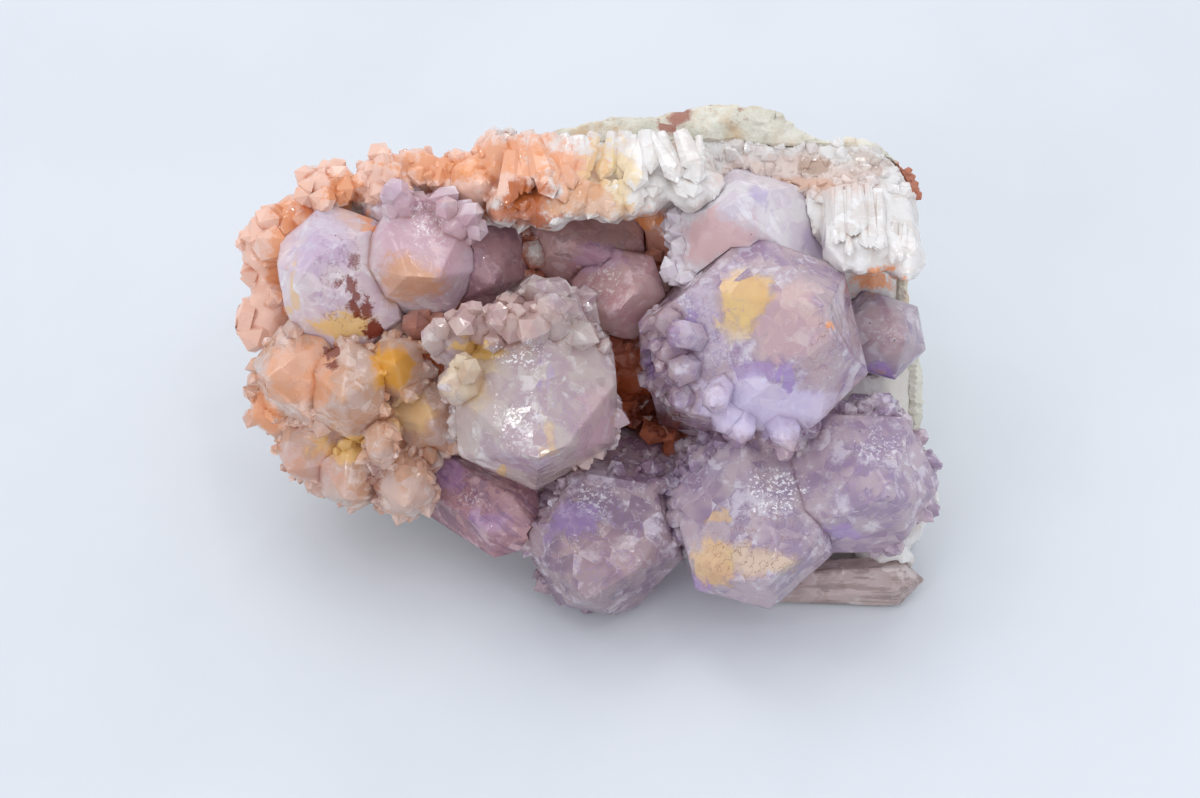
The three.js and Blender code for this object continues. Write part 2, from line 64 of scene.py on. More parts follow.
# The camera looks straight down on the growth face. Its picture is PICTURE pixels in size.
CAMERA_PLACE = (1.36, -4.43, 380)
CAMERA_LENS = 100.3
CAMERA_SENSOR = 36
CAMERA_CLIP = (0.01, 20)  # metres
PICTURE = (1200, 798)

# The foot and the tip of each large crystal that small ones grow on.
FRONT_RIGHT = ((15.5, 0.5, -9), (25.2, 4.2, 19.5))
CENTRE = ((-7.2, 0.8, -9), (-4.6, -10.2, 15.6))
LOWER_MIDDLE = ((3.2, -14.6, -13), (0.9, -26.4, 10.2))
LOWER_RIGHT = ((16.4, -14.4, -12), (20.2, -22.4, 14.6))
LOWER_RIGHT_NEIGHBOUR = ((29.2, -12.2, -12), (32, -16, 13))
UPPER_RIGHT = ((20.2, 9.5, -13), (17.8, 17.6, 9.6))
UPPER_LEFT_NEIGHBOUR = ((-20.4, 13.6, -12), (-18.6, 8.9, 7.6))
LEFT_CLUSTER = ((-26, -1, -12), (-27.4, -4.6, 7.4))

# How finely each kind of surface is remade, in millimetres.
CRYSTAL_GRAIN = 0.8
BAND_GRAIN = 0.4
ROCK_GRAIN = 0.45
CUTTING_ROUNDS = 6
BAND_SHARE = 0.75  # how many of the band's triangles are kept; the flattest ones are merged
WELD = 1e-7  # metres
SHARP_ANGLE = math.radians(22)

# How deep a surface's growth terraces, soft lumps and chipped edges are, in millimetres.
CRYSTAL_RELIEF = (0.02, 0.015, 0.06)
BAND_RELIEF = (0.05, 0.2, 0.1)
ROCK_RELIEF = (0.22, 0.4, 0.2)
TERRACE_SIZE = 7.0
TERRACES = 3
LUMP_SIZE = 2.4
CHIP_SIZE = 1.3
EDGE_WEAR = 0.015
EDGE_BULGE = (0.05, 0.2)  # how far an edge stands out of its neighbours, in grains
TREAD_EDGES = (0.35, 0.65)
CHIP_EDGES = (0.1, 0.7)
OCTAVES = 3
SWELL = 0.12  # each piece is let out by this much, to close the gap to its neighbour
ROCK_SWELL = 0.35

# Seeds of the relief. Those of the lumps and the chips are counted from the surface's own.
CRYSTAL_SEED_STEP = 100
BAND_SEED = 3000
ROCK_SEED = 4000
LUMP_SEED = 10
CHIP_SEED = 20

# A vertex that lies this far below its smoothed neighbours, in millimetres, is deep in a crease, where iron
# stain and painted shade are laid.
CREVICE_DEPTH = 0.3
CREVICE_ROUNDS = 4
CREVICE_STAIN_AND_SHADE = "crevice"

# Small crystals. Their heads slope as quartz does, drawn out a little.
SIDES = 6
HEAD_SLOPE = math.radians(51.8)
HEAD_STRETCH = 1.3
LEAST_SHANK = 0.3  # how much of a crystal's length its shank takes up at least
SINK = 0.6  # how many of its radii a small crystal's root is sunk
FLATNESS = (0.7, 1)
LEAST_LEAN = 0.35  # how much a small crystal leans out of its surface at least
PLACE_EDGE = (0.7, 1.1)  # where growth thins out at the edge of a place, in its radii
WALL_TILT = 0.3  # how far a prism's side may tilt from its axis
WALL_SPLAY = 0.6  # how much the crystals on it splay outward
FACING_AWAY = -0.1

# Blades, with their places in pixels.
FAN_PITCH = 62
BLADE_SPACING = (0.1, 0.9)  # where a blade stands in its share of the row
BLADE_STRAY = 4  # how far its root strays up or down
BLADE_DRIFT = 0.4  # how far its tip strays, as a share of the fan's swing
BLADE_RISE = 0.12
BLADE_ROOT = (0.35, 0.7)  # how narrow its root is
BLADE_SINK = 0.5

# The quartz. Sizes are in millimetres.
QUARTZ_IOR = 1.544
PATCH_SIZE = 2.4
PATCH_SHIFT = 1.5
ZONE_SHIFT = 3.0
PATCH_TILT = 0.16
ZONE_SIZE = 5.0
VEIL_SIZE = 3.6
GROWTH_LINE_SIZE = 4.5
STREAK_SIZE = 0.8
STREAK_DRAW = 8  # how many times a streak is longer than it is wide
STEP_SIZE = 2.2
RIPPLE_SIZE = 0.6
RIPPLE_SCALE = (0.25, 0.25, 1.6)
PIT_SIZE = 0.3
LARGE_STAIN = 1.8  # stains smaller than this have a finer edge

# How much light passes through the crystals, through those that are cloudier, and through the band.
CLEAR = 0.55
CLOUDED = {"upper_right_point": 0.35, "upper_left_points": 0.4}
BAND_CLEAR = 0.25

# The studio, in metres and watts. The sky is brightest toward SKY_LIGHT.
SKY_LIGHT = (-0.15, 0.55, 0.82)
SKY_COLOUR = (240, 244, 252)
SKY_STRENGTH = (1.15, 1.2)
SKY_START = -0.2
LIGHTS = [
    ("window", (-0.9, 3.0, 4.7), 2.7, 40.0, (1.0, 0.985, 0.96)),
    ("fill", (-3.3, -4.2, 2.5), 2.4, 42.0, (1.0, 0.99, 0.98)),
]
# Each small light stands where one crystal's head sends its light into the camera.
GLINTS = [
    (1.7, -1.9, 5.2),
    (1.4, -0.1, 5.7),
    (0.9, 1.6, 5.6),
    (1.8, 4.4, 3.5),
    (-1.1, -2.2, 5.4),
    (-3.2, 0.4, 4.9),
]
GLINT_SIZE = 0.3
GLINT_POWER = 7.0
GLINT_COLOUR = (1.0, 1.0, 1.0)
FLOOR_HALF = 3.0
FLOOR_TONES = ((203, 207, 211), (208, 211, 215))
FLOOR_MOTTLE = 60
BOUNCES = 6
BOUNCES_THROUGH = 5

Crystal = namedtuple("Crystal", "root axis radius length spin flatness root_share")
Growth = namedtuple("Growth", "count seed spread size length jitter most", defaults=(0.3, 8))
Blades = namedtuple("Blades", "seed span rows swing radius flatness most")
Row = namedtuple("Row", "top low lift longer count")
Palette = namedtuple("Palette", "pale deep veil crevice tint density")
Piece = namedtuple("Piece", "node name slot palette stains growths")


# Places.
def growth_matrix():
    lean = Matrix.Rotation(GROWTH_LEAN, 4, "X")
    return Matrix.Translation(Vector(GROWTH_ORIGIN) * MM) @ lean @ Matrix.Scale(MM, 4)


GROWTH = growth_matrix()
TO_GROWTH = GROWTH.inverted()


def to_growth(points):
    """Part-frame metres to growth-frame millimetres."""
    turn = np.array(TO_GROWTH)
    return points @ turn[:3, :3].T + turn[:3, 3]


def to_part(points):
    """Growth-frame millimetres to part-frame metres."""
    turn = np.array(GROWTH)
    return points @ turn[:3, :3].T + turn[:3, 3]


def pixel_size(z):
    """How many millimetres one pixel of the picture spans at a height on the growth face."""
    return (CAMERA_PLACE[2] - z) * CAMERA_SENSOR / CAMERA_LENS / PICTURE[0]


def seen(across, down, z):
    """The place at height z that the camera sees at a pixel of its picture."""
    size = pixel_size(z)
    x = CAMERA_PLACE[0] + (across - PICTURE[0] / 2) * size
    y = CAMERA_PLACE[1] - (down - PICTURE[1] / 2) * size
    return (x, y, z)


def surface_of(node):
    """The node's surface in the growth frame, for looking at."""
    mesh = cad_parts[node].data
    corners = [tuple(face.vertices) for face in mesh.polygons]
    return BVHTree.FromPolygons(to_growth(points_of(mesh)).tolist(), corners)


def seen_on(surface, across, down):
    """The place on a surface that the camera sees at a pixel, or at height 0 where it sees none."""
    eye = Vector(CAMERA_PLACE)
    place = surface.ray_cast(eye, Vector(seen(across, down, 0)) - eye)[0]
    if place is None:
        return seen(across, down, 0)
    return tuple(place)


def around(*places):
    """Rounded places, each given by its pixel, its height and its radius."""
    return [(seen(across, down, z), radius) for across, down, z, radius in places]


def near(surface, *places):
    """Rounded places on a surface, each given by its pixel and its radius."""
    return [(seen_on(surface, across, down), radius) for across, down, radius in places]


# Smooth repeatable noise, for many points at once. Its primes scramble a cell's place and the seed.
CELL_PRIMES = (73856093, 19349663, 83492791)
SEED_PRIME = 2654435761
SCRAMBLES = ((13, 1274126177), (15, 2246822519))
LAST_SHIFT = 16
WORD = 0xFFFFFFFF
VALUE_RANGE = 0xFFFFFF
CELL_CORNERS = [np.array([corner & 1, corner >> 1 & 1, corner >> 2 & 1]) for corner in range(8)]


def lattice(cells, seed):
    """A value from -1 to 1 for each cell, which looks random."""
    across, up, out = (cells[:, axis] * prime for axis, prime in enumerate(CELL_PRIMES))
    mixed = across ^ up ^ out ^ seed * SEED_PRIME
    for shift, prime in SCRAMBLES:
        mixed = (mixed ^ (mixed >> shift)) * prime & WORD
    return ((mixed ^ (mixed >> LAST_SHIFT)) & VALUE_RANGE) / VALUE_RANGE * 2 - 1


def noise(points, wavelength, seed):
    """Smooth noise from -1 to 1."""
    scaled = points / wavelength
    cell = np.floor(scaled).astype(np.int64)
    ease = scaled - cell
    ease = ease * ease * (3 - 2 * ease)
    total = np.zeros(len(points))
    for corner in CELL_CORNERS:
        share = np.prod(np.where(corner, ease, 1 - ease), axis=1)
        total += share * lattice(cell + corner, seed)
    return total


def fractal(points, wavelength, seed):
    """Noise with finer noise on it, each octave half as large and half as strong as the last."""
    total = np.zeros(len(points))
    size = 1.0
    for octave in range(OCTAVES):
        total += size * noise(points, wavelength / 2**octave, seed + octave)
        size *= 0.5
    return total


def smoothstep(low, high, value):
    """From 0 at the low end to 1 at the high end."""
    share = np.clip((value - low) / (high - low), 0, 1)
    return share * share * (3 - 2 * share)


def unit(vectors):
    vectors = np.asarray(vectors, dtype=float)
    return vectors / np.linalg.norm(vectors, axis=-1, keepdims=True)


# Meshes.
def points_of(mesh):
    values = np.empty(len(mesh.vertices) * 3)
    mesh.vertices.foreach_get("co", values)
    return values.reshape(-1, 3)


def normals_of(mesh):
    values = np.empty(len(mesh.vertices) * 3)
    mesh.vertex_normals.foreach_get("vector", values)
    return values.reshape(-1, 3)


def set_points(mesh, points):
    mesh.vertices.foreach_set("co", points.ravel())
    mesh.update()


def new_object(name, mesh):
    made = bpy.data.objects.new(name, mesh)
    bpy.context.scene.collection.objects.link(made)
    return made


def apply_modifiers(obj):
    """Puts the mesh that the object's modifiers make in place of its own."""
    depsgraph = bpy.context.evaluated_depsgraph_get()
    mesh = bpy.data.meshes.new_from_object(obj.evaluated_get(depsgraph))
    obj.modifiers.clear()
    old = obj.data
    obj.data = mesh
    bpy.data.meshes.remove(old)


def remade(name, node, grain):
    """A new object with the node's form, remade as an even mesh."""
    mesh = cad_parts[node].data.copy()
    mesh.materials.clear()
    made = new_object(name, mesh)
    remesh = made.modifiers.new("remesh", "REMESH")
    remesh.mode = "VOXEL"
    remesh.voxel_size = grain * MM
    apply_modifiers(made)
    return made


def cut_fine(name, node, longest):
    """A new object with the node's own facets and edges, its long triangle sides cut up."""
    mesh = bpy.data.meshes.new(name)
    work = bmesh.new()
    work.from_mesh(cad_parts[node].data)
    bmesh.ops.remove_doubles(work, verts=work.verts, dist=WELD)
    bmesh.ops.triangulate(work, faces=work.faces)
    for _ in range(CUTTING_ROUNDS):
        long_edges = [edge for edge in work.edges if edge.calc_length() > longest * MM]
        bmesh.ops.subdivide_edges(work, edges=long_edges, cuts=1)
        many_sided = [face for face in work.faces if len(face.verts) > 3]
        bmesh.ops.triangulate(work, faces=many_sided, quad_method="SHORT_EDGE")
    work.to_mesh(mesh)
    work.free()
    return new_object(name, mesh)


def thin_out(obj, share):
    """Merges the object's flattest triangles until only a share of them is left."""
    thin = obj.modifiers.new("thin", "DECIMATE")
    thin.ratio = share
    apply_modifiers(obj)
    obj.data.validate()


def neighbour_mean(mesh, values):
    """The mean of each vertex's neighbours' values."""
    edges = np.empty(len(mesh.edges) * 2, dtype=np.int64)
    mesh.edges.foreach_get("vertices", edges)
    starts, ends = edges.reshape(-1, 2).T
    total = np.zeros_like(values)
    np.add.at(total, starts, values[ends])
    np.add.at(total, ends, values[starts])
    count = np.bincount(edges, minlength=len(values)).astype(float)
    return total / (count[:, None] if values.ndim > 1 else count)


def edge_wear(mesh, grain):
    """From 0 on flat faces to 1 on outer edges."""
    points, normals = points_of(mesh), normals_of(mesh)
    bulge = np.einsum("ij,ij->i", points - neighbour_mean(mesh, points), normals) / (grain * MM)
    return smoothstep(*EDGE_BULGE, bulge)


def relief(obj, grain, depths, seed, swell=SWELL):
    """Works growth terraces, soft lumps and chipped edges into a surface, and lets it out."""
    terraces, lumps, chips = depths
    mesh = obj.data
    points, normals = points_of(mesh), normals_of(mesh)
    at = to_growth(points)
    steps = fractal(at, TERRACE_SIZE, seed) * TERRACES
    treads = np.floor(steps) + smoothstep(*TREAD_EDGES, steps - np.floor(steps))
    height = terraces * treads + lumps * fractal(at, LUMP_SIZE, seed + LUMP_SEED)
    chipped = smoothstep(*CHIP_EDGES, fractal(at, CHIP_SIZE, seed + CHIP_SEED))
    height -= edge_wear(mesh, grain) * (EDGE_WEAR + chips * chipped)
    set_points(mesh, points + normals * ((height + swell) * MM)[:, None])


def mark_crevices(mesh):
    """Stores how deep each vertex lies in a crease, where iron stains and painted shade gather: 1 in the
    creases between crystals, 0 on open faces and edges.
    """
    points, normals = points_of(mesh), normals_of(mesh)
    smooth = points
    for _ in range(CREVICE_ROUNDS):
        smooth = neighbour_mean(mesh, smooth)
    depth = np.einsum("ij,ij->i", smooth - points, normals) / MM
    marks = smoothstep(0.0, CREVICE_DEPTH, depth)
    mesh.attributes.new(CREVICE_STAIN_AND_SHADE, "FLOAT", "POINT").data.foreach_set("value", marks)


# Small crystals: a hexagonal prism with a six-sided head, its root closed.
def small_crystal_form():
    """Its corners are the root's ring, the shoulder's ring and the tip, one radius wide."""
    turns = [math.radians(360 / SIDES * side) for side in range(SIDES)]
    ring = np.array([(math.cos(turn), math.sin(turn), 0) for turn in turns])
    points = np.vstack([ring, ring, [[0, 0, 1]]])
    after = [(side + 1) % SIDES for side in range(SIDES)]
    faces = [tuple(reversed(range(SIDES)))]
    faces += [(side, after[side], SIDES + after[side], SIDES + side) for side in range(SIDES)]
    faces += [(SIDES + side, SIDES + after[side], 2 * SIDES) for side in range(SIDES)]
    return points, faces


CRYSTAL_POINTS, CRYSTAL_FACES = small_crystal_form()


def crystal_points(crystal):
    """The corners of one small crystal."""
    axis, radius, length = crystal.axis, crystal.radius, crystal.length
    helper = np.array([1.0, 0, 0]) if abs(axis[0]) < 0.8 else np.array([0, 1.0, 0])
    across = unit(np.cross(axis, helper))
    up = np.cross(axis, across)
    turn, sway = np.cos(crystal.spin), np.sin(crystal.spin)
    along = turn * across + sway * up
    beside = (turn * up - sway * across) * crystal.flatness
    head = radius / math.tan(HEAD_SLOPE) * HEAD_STRETCH
    points = CRYSTAL_POINTS[:, :1] * radius * along + CRYSTAL_POINTS[:, 1:2] * radius * beside
    points[:SIDES] *= crystal.root_share
    height = np.zeros((len(CRYSTAL_POINTS), 1))
    height[SIDES:2 * SIDES] = max(length - head, length * LEAST_SHANK)
    height[2 * SIDES] = length
    return points + height * axis + crystal.root


def crystal_mesh(name, crystals):
    """One mesh of many small crystals."""
    all_points, all_faces = [], []
    for number, crystal in enumerate(crystals):
        all_points.append(crystal_points(crystal))
        first = number * len(CRYSTAL_POINTS)
        all_faces += [tuple(first + corner for corner in face) for face in CRYSTAL_FACES]
    mesh = bpy.data.meshes.new(name)
    mesh.from_pydata(to_part(np.vstack(all_points)).tolist(), [], all_faces)
    mesh.update()
    return mesh


def apart(crystals, most):
    """Sorts crystals into batches in which no two touch. What no batch has room for is left out."""
    batches = []
    for crystal in crystals:
        middle = crystal.root + crystal.axis * crystal.length / 2
        reach = math.hypot(crystal.length / 2, crystal.radius)
        for places, rooms, batch in batches:
            far = np.linalg.norm(places[:len(batch)] - middle, axis=1) > rooms[:len(batch)] + reach
            if far.all():
                break
        else:
            if len(batches) == most:
                continue
            places, rooms, batch = np.empty((len(crystals), 3)), np.empty(len(crystals)), []
            batches.append((places, rooms, batch))
        places[len(batch)] = middle
        rooms[len(batch)] = reach
        batch.append(crystal)
    return [batch for _, _, batch in batches]


def grow_on(obj, crystals, most):
    """Joins small crystals to the object in one solid. A batch that can't be joined is left out."""
    for batch in apart(crystals, most):
        tool = new_object("growing", crystal_mesh("growing", batch))
        join = obj.modifiers.new("join", "BOOLEAN")
        join.operation = "UNION"
        join.solver = "MANIFOLD"
        join.object = tool
        apply_modifiers(obj)
        mesh = tool.data
        bpy.data.objects.remove(tool)
        bpy.data.meshes.remove(mesh)


def closeness(points, places):
    """From 1 inside any of the places to 0 outside. Each is (centre, radius)."""
    share = np.zeros(len(points))
    for centre, radius in places:
        far = np.linalg.norm(points - np.array(centre), axis=1) / radius
        share = np.maximum(share, 1 - smoothstep(*PLACE_EDGE, far))
    return share


def on_walls(crystal, places):
    """Where small crystals may grow: on a large crystal's prism sides, within some places."""
    foot, tip = crystal
    axis = unit(np.array(tip) - np.array(foot))

    def where(points, normals):
        return (np.abs(normals @ axis) < WALL_TILT) * closeness(points, places)

    def out(points, normals):
        return normals * WALL_SPLAY + axis

    return where, out


def on_floor(places, way=(0, 0, 1), follow=0.5):
    """Where small crystals may grow: on any open face, within some places."""
    def where(points, normals):
        return (normals @ unit(way) > FACING_AWAY) * closeness(points, places)

    def out(points, normals):
        return normals * follow + unit(way)

    return where, out


def triangles_of(mesh):
    """Each triangle's middle, normal and area, in the growth frame."""
    mesh.calc_loop_triangles()
    corners = np.empty(len(mesh.loop_triangles) * 3, dtype=np.int64)
    mesh.loop_triangles.foreach_get("vertices", corners)
    corners = corners.reshape(-1, 3)
    points = to_growth(points_of(mesh))
    first, second, third = (points[corners[:, corner]] for corner in range(3))
    cross = np.cross(second - first, third - first)
    area = np.linalg.norm(cross, axis=1)
    return (first + second + third) / 3, cross / np.maximum(area, 1e-12)[:, None], area


def scatter(obj, growth):
    """Small crystals on the object's surface, the largest first."""
    where, out = growth.spread
    count = growth.count
    draw = np.random.default_rng(growth.seed)
    middles, normals, area = triangles_of(obj.data)
    weight = area * where(middles, normals)
    picked = draw.choice(len(weight), size=count, p=weight / weight.sum())
    ways = unit(out(middles[picked], normals[picked])) + draw.normal(0, growth.jitter, (count, 3))
    ways = unit(ways)
    lean = np.einsum("ij,ij->i", ways, normals[picked])
    ways = unit(ways + normals[picked] * np.maximum(0, LEAST_LEAN - lean)[:, None])
    smallest, largest = growth.size
    radii = np.sort(smallest + (largest - smallest) * draw.random(count) ** 2)[::-1]
    made = []
    for place, way, radius in zip(middles[picked], ways, radii):
        length = radius * (draw.uniform(*growth.length) + SINK)
        spin = draw.uniform(0, 2 * math.pi)
        flatness = draw.uniform(*FLATNESS)
        made.append(Crystal(place - way * radius * SINK, way, radius, length, spin, flatness, 1))
    return made


def grow(obj, growth):
    grow_on(obj, scatter(obj, growth), growth.most)


def blades(surface, kind):
    """Flat blades that hang down over the band, each row in front of the one before."""
    draw = np.random.default_rng(kind.seed)
    start, end = kind.span
    made = []
    for row in kind.rows:
        for number in range(row.count):
            across = start + (end - start) * (number + draw.uniform(*BLADE_SPACING)) / row.count
            turn = (across - start) / FAN_PITCH * math.pi
            drift = kind.swing * math.sin(turn) + draw.normal(0, kind.swing * BLADE_DRIFT)
            top = row.top + draw.uniform(-BLADE_STRAY, BLADE_STRAY)
            root = np.array(seen_on(surface, across, top)) + (0, 0, row.lift)
            low_end = np.array(seen_on(surface, across + drift, row.low)) + (0, 0, row.lift)
            axis = unit(unit(low_end - root) + (0, 0, draw.uniform(0.0, BLADE_RISE)))
            length = np.linalg.norm(low_end - root) * draw.uniform(*row.longer)
            thin = draw.uniform(*kind.flatness)
            wide = draw.uniform(*kind.radius)
            root_share = draw.uniform(*BLADE_ROOT)
            foot = root - axis * wide * BLADE_SINK
            made.append(Crystal(foot, axis, wide, length, math.pi / 2, thin, root_share))
    return made


# Materials.
def linear(red, green, blue):
    """A colour as it looks on a screen, from 0 to 255, as the shader's linear one."""
    parts = [value / 255 for value in (red, green, blue)]
    return tuple(p / 12.92 if p <= 0.04045 else ((p + 0.055) / 1.055) ** 2.4 for p in parts) + (1.0,)


class Nodes:
    """A node tree, and the short ways in which its nodes are made and joined here."""

    def __init__(self, tree):
        self.tree = tree

    def fill(self, node, inputs):
        """Gives a node's inputs, by name or number, a value or another node's output."""
        for key, value in inputs.items():
            if isinstance(value, bpy.types.NodeSocket):
                self.tree.links.new(value, node.inputs[key])
            else:
                node.inputs[key].default_value = value

    def node(self, kind, inputs, **settings):
        made = self.tree.nodes.new(kind)
        for key, value in settings.items():
            setattr(made, key, value)
        self.fill(made, inputs)
        return made

    def math(self, operation, *values):
        made = self.node("ShaderNodeMath", dict(enumerate(values)), operation=operation)
        return made.outputs["Value"]

    def vector_math(self, operation, *values):
        """The outputs of a sum of vectors: Vector or Value."""
        return self.node("ShaderNodeVectorMath", dict(enumerate(values)), operation=operation).outputs


# The places of the colour mixer's sockets, whose names it also gives to others: its share and its
# two colours, then its result.
MIX_INPUTS = (0, 6, 7)
MIX_RESULT = 2


class Paint(Nodes):
    """A material's nodes."""

    def __init__(self, name):
        self.material = bpy.data.materials.new(name)
        self.material.use_nodes = True
        super().__init__(self.material.node_tree)
        self.shader = self.tree.nodes["Principled BSDF"]
        self.place = self.growth_place()
        self.cells = self.node("ShaderNodeTexVoronoi", {"Vector": self.place, "Scale": 1 / PATCH_SIZE})
        self.patches = self.shattered(self.place, PATCH_SHIFT)
        self.marks = []
        self.shared = {}

    def mapped(self, vector, scale, location=(0, 0, 0), rotation=(0, 0, 0), kind="POINT"):
        inputs = {"Vector": vector, "Location": location, "Rotation": rotation, "Scale": scale}
        return self.node("ShaderNodeMapping", inputs, vector_type=kind).outputs["Vector"]

    def growth_place(self):
        """The place in the growth frame of each point that is shaded."""
        place = self.node("ShaderNodeTexCoord", {}).outputs["Object"]
        return self.mapped(place, (1 / MM, 1 / MM, 1 / MM), TO_GROWTH.to_translation(), (-GROWTH_LEAN, 0, 0))

    def combed(self, turn):
        """The place, drawn out along a way across the growth face."""
        rotation = (0, 0, math.radians(turn))
        return self.mapped(self.place, (STREAK_DRAW, 1, 1), rotation=rotation, kind="TEXTURE")

    def mix(self, share, first, second):
        inputs = dict(zip(MIX_INPUTS, (share, first, second)))
        return self.node("ShaderNodeMix", inputs, data_type="RGBA").outputs[MIX_RESULT]

    def lay(self, colour, tone, share, strength):
        """Lays a tone over a colour where the share is high."""
        return self.mix(self.math("MULTIPLY", share, strength), colour, linear(*tone))

    def noise(self, wavelength, detail=3.0, roughness=0.55, place=None):
        place = place or self.place
        inputs = {"Vector": place, "Scale": 1 / wavelength, "Detail": detail, "Roughness": roughness}
        return self.node("ShaderNodeTexNoise", inputs).outputs["Fac"]

    def share(self, name):
        """A pattern that several marks of one material are broken up by, made once."""
        makers = {
            "coarse": lambda: self.noise(2.4, detail=4, roughness=0.75),
            "fine": lambda: self.noise(0.9, detail=3, roughness=0.75),
            "cracks": lambda: self.ridges(1.8, 0.02),
            # Where painted glints fleck a patch.
            "flecks": lambda: self.span(self.noise(0.5, detail=2, roughness=0.8), 0.53, 0.6),
            "crevices": lambda: self.node("ShaderNodeAttribute", {}, attribute_name=CREVICE_STAIN_AND_SHADE).outputs["Fac"],
        }
        if name not in self.shared:
            self.shared[name] = makers[name]()
        return self.shared[name]

    def span(self, value, low, high, out_low=0.0, out_high=1.0):
        """Eases from one number, where the value is low, to another, where it is high."""
        inputs = {"Value": value, "From Min": low, "From Max": high, "To Min": out_low, "To Max": out_high}
        return self.node("ShaderNodeMapRange", inputs, interpolation_type="SMOOTHSTEP").outputs["Result"]

    def shattered(self, vector, shift):
        """The vector, moved a little and differently in each of many flat-sided patches."""
        centred = self.vector_math("SUBTRACT", self.cells.outputs["Color"], (0.5, 0.5, 0.5))["Vector"]
        return self.vector_math("MULTIPLY_ADD", centred, (shift, shift, shift), vector)["Vector"]

    def mosaic(self, tilt):
        """The surface's normal, tipped a little and differently in each of many flat patches."""
        normal = self.node("ShaderNodeNewGeometry", {}).outputs["Normal"]
        return self.vector_math("NORMALIZE", self.shattered(normal, tilt))["Vector"]

    def bump(self, height, strength, distance, **normal):
        """Roughens the shading by a height, in millimetres of distance."""
        inputs = {"Strength": strength, "Distance": distance * MM, "Height": height, **normal}
        self.fill(self.shader, {"Normal": self.node("ShaderNodeBump", inputs).outputs["Normal"]})

    def ridges(self, wavelength, width):
        """Thin winding lines: 1 along each line, 0 elsewhere."""
        value = self.noise(wavelength, roughness=0.6)
        off = self.math("ABSOLUTE", self.math("SUBTRACT", value, 0.5))
        return self.span(off, 0.0, width, 1.0, 0.0)

    def spot(self, centre, radii, breakup, soft=0.3):
        """From 1 inside a rounded place to 0 outside it, with a broken, flat-sided edge."""
        scale = [1 / radius for radius in radii]
        location = [-middle * share for middle, share in zip(centre, scale)]
        length = self.vector_math("LENGTH", self.mapped(self.patches, scale, location))["Value"]
        ragged = self.share("coarse" if min(radii) > LARGE_STAIN else "fine")
        ragged = self.math("SUBTRACT", ragged, 0.5)
        far = self.math("MULTIPLY_ADD", ragged, breakup * 4, length)
        return self.span(far, 1 - soft, 1 + soft, 1.0, 0.0)

    def stain(self, colour, surface, tone, across, down, wide, tall,
              strength=1.0, deep=4.0, breakup=0.3, pattern=None):
        """Lays a tone over a colour about the place seen at a pixel: a stain, a painted glint or a
        painted shadow. From the tone on, the arguments are those of a stain's row, below."""
        centre = seen_on(surface, across, down)
        size = pixel_size(centre[2])
        share = self.spot(centre, (wide * size, tall * size, deep), breakup)
        if pattern:
            share = self.math("MULTIPLY", share, self.share(pattern))
        self.marks.append(self.math("MULTIPLY", share, strength))
        return self.mix(self.marks[-1], colour, linear(*tone))


def quartz_colour(paint, palette, milk, broken, streaks):
    """A pale body with deeper zones, white veils and growth lines, and its crevices, tinted
    with iron stain and darkened with painted shade.
    """
    zone = paint.span(paint.noise(ZONE_SIZE, detail=2, roughness=0.6, place=broken), 0.42, 0.6)
    colour = paint.lay(linear(*palette.pale), palette.deep, zone, 0.7)
    colour = paint.lay(colour, palette.veil, milk, 0.6)
    colour = paint.lay(colour, palette.veil, paint.ridges(GROWTH_LINE_SIZE, 0.01), 0.5)
    if streaks:
        tone, turn, strength = streaks
        along = paint.span(paint.noise(STREAK_SIZE, place=paint.combed(turn)), 0.48, 0.6)
        colour = paint.lay(colour, tone, along, strength)
    # Crease tone, part iron stain and part painted shade, laid where the creases between crystals lie
    # deepest.
    return paint.lay(colour, palette.crevice, paint.share("crevices"), 0.7)


def dark_specks(paint, colour):
    """A dark speck at the heart of some of the patches."""
    speck = paint.span(paint.cells.outputs["Distance"], 0.035, 0.05, 1.0, 0.0)
    some = paint.math("GREATER_THAN", paint.cells.outputs["Color"], 0.6)
    return paint.lay(colour, SPECK, speck, some)


def quartz_clearness(paint, milk, clear):
    """Lets less light through where the quartz is milky, and under its stains, painted glints and painted
    shadows.
    """
    cover = paint.math("MULTIPLY", milk, 0.3)
    for mark in paint.marks:
        cover = paint.math("MAXIMUM", cover, paint.math("MULTIPLY", mark, 0.75))
    paint.fill(paint.shader, {"Transmission Weight": paint.span(cover, 0.0, 1.0, clear, 0.0)})


def quartz_surface(paint):
    """A glassy surface with fine growth ripples, pits and steps, in patches that differ in tilt."""
    paint.fill(paint.shader, {"Roughness": paint.span(paint.share("coarse"), 0.4, 0.75, 0.02, 0.14)})
    ripples = paint.noise(RIPPLE_SIZE, detail=1, place=paint.mapped(paint.place, RIPPLE_SCALE))
    pits = paint.noise(PIT_SIZE, detail=1, roughness=0.7)
    steps = paint.span(paint.noise(STEP_SIZE, roughness=0.6), 0.48, 0.54)
    height = paint.math("MULTIPLY_ADD", ripples, 0.45, paint.math("MULTIPLY", pits, 0.3))
    height = paint.math("MULTIPLY_ADD", steps, 0.5, height)
    paint.bump(height, 0.5, 0.07, Normal=paint.mosaic(PATCH_TILT))


def quartz_depth(paint, palette):
    """Tints the light that passes through the quartz."""
    inputs = {"Color": linear(*palette.tint), "Density": palette.density}
    volume = paint.node("ShaderNodeVolumeAbsorption", inputs).outputs["Volume"]
    paint.fill(paint.tree.nodes["Material Output"], {"Volume": volume})


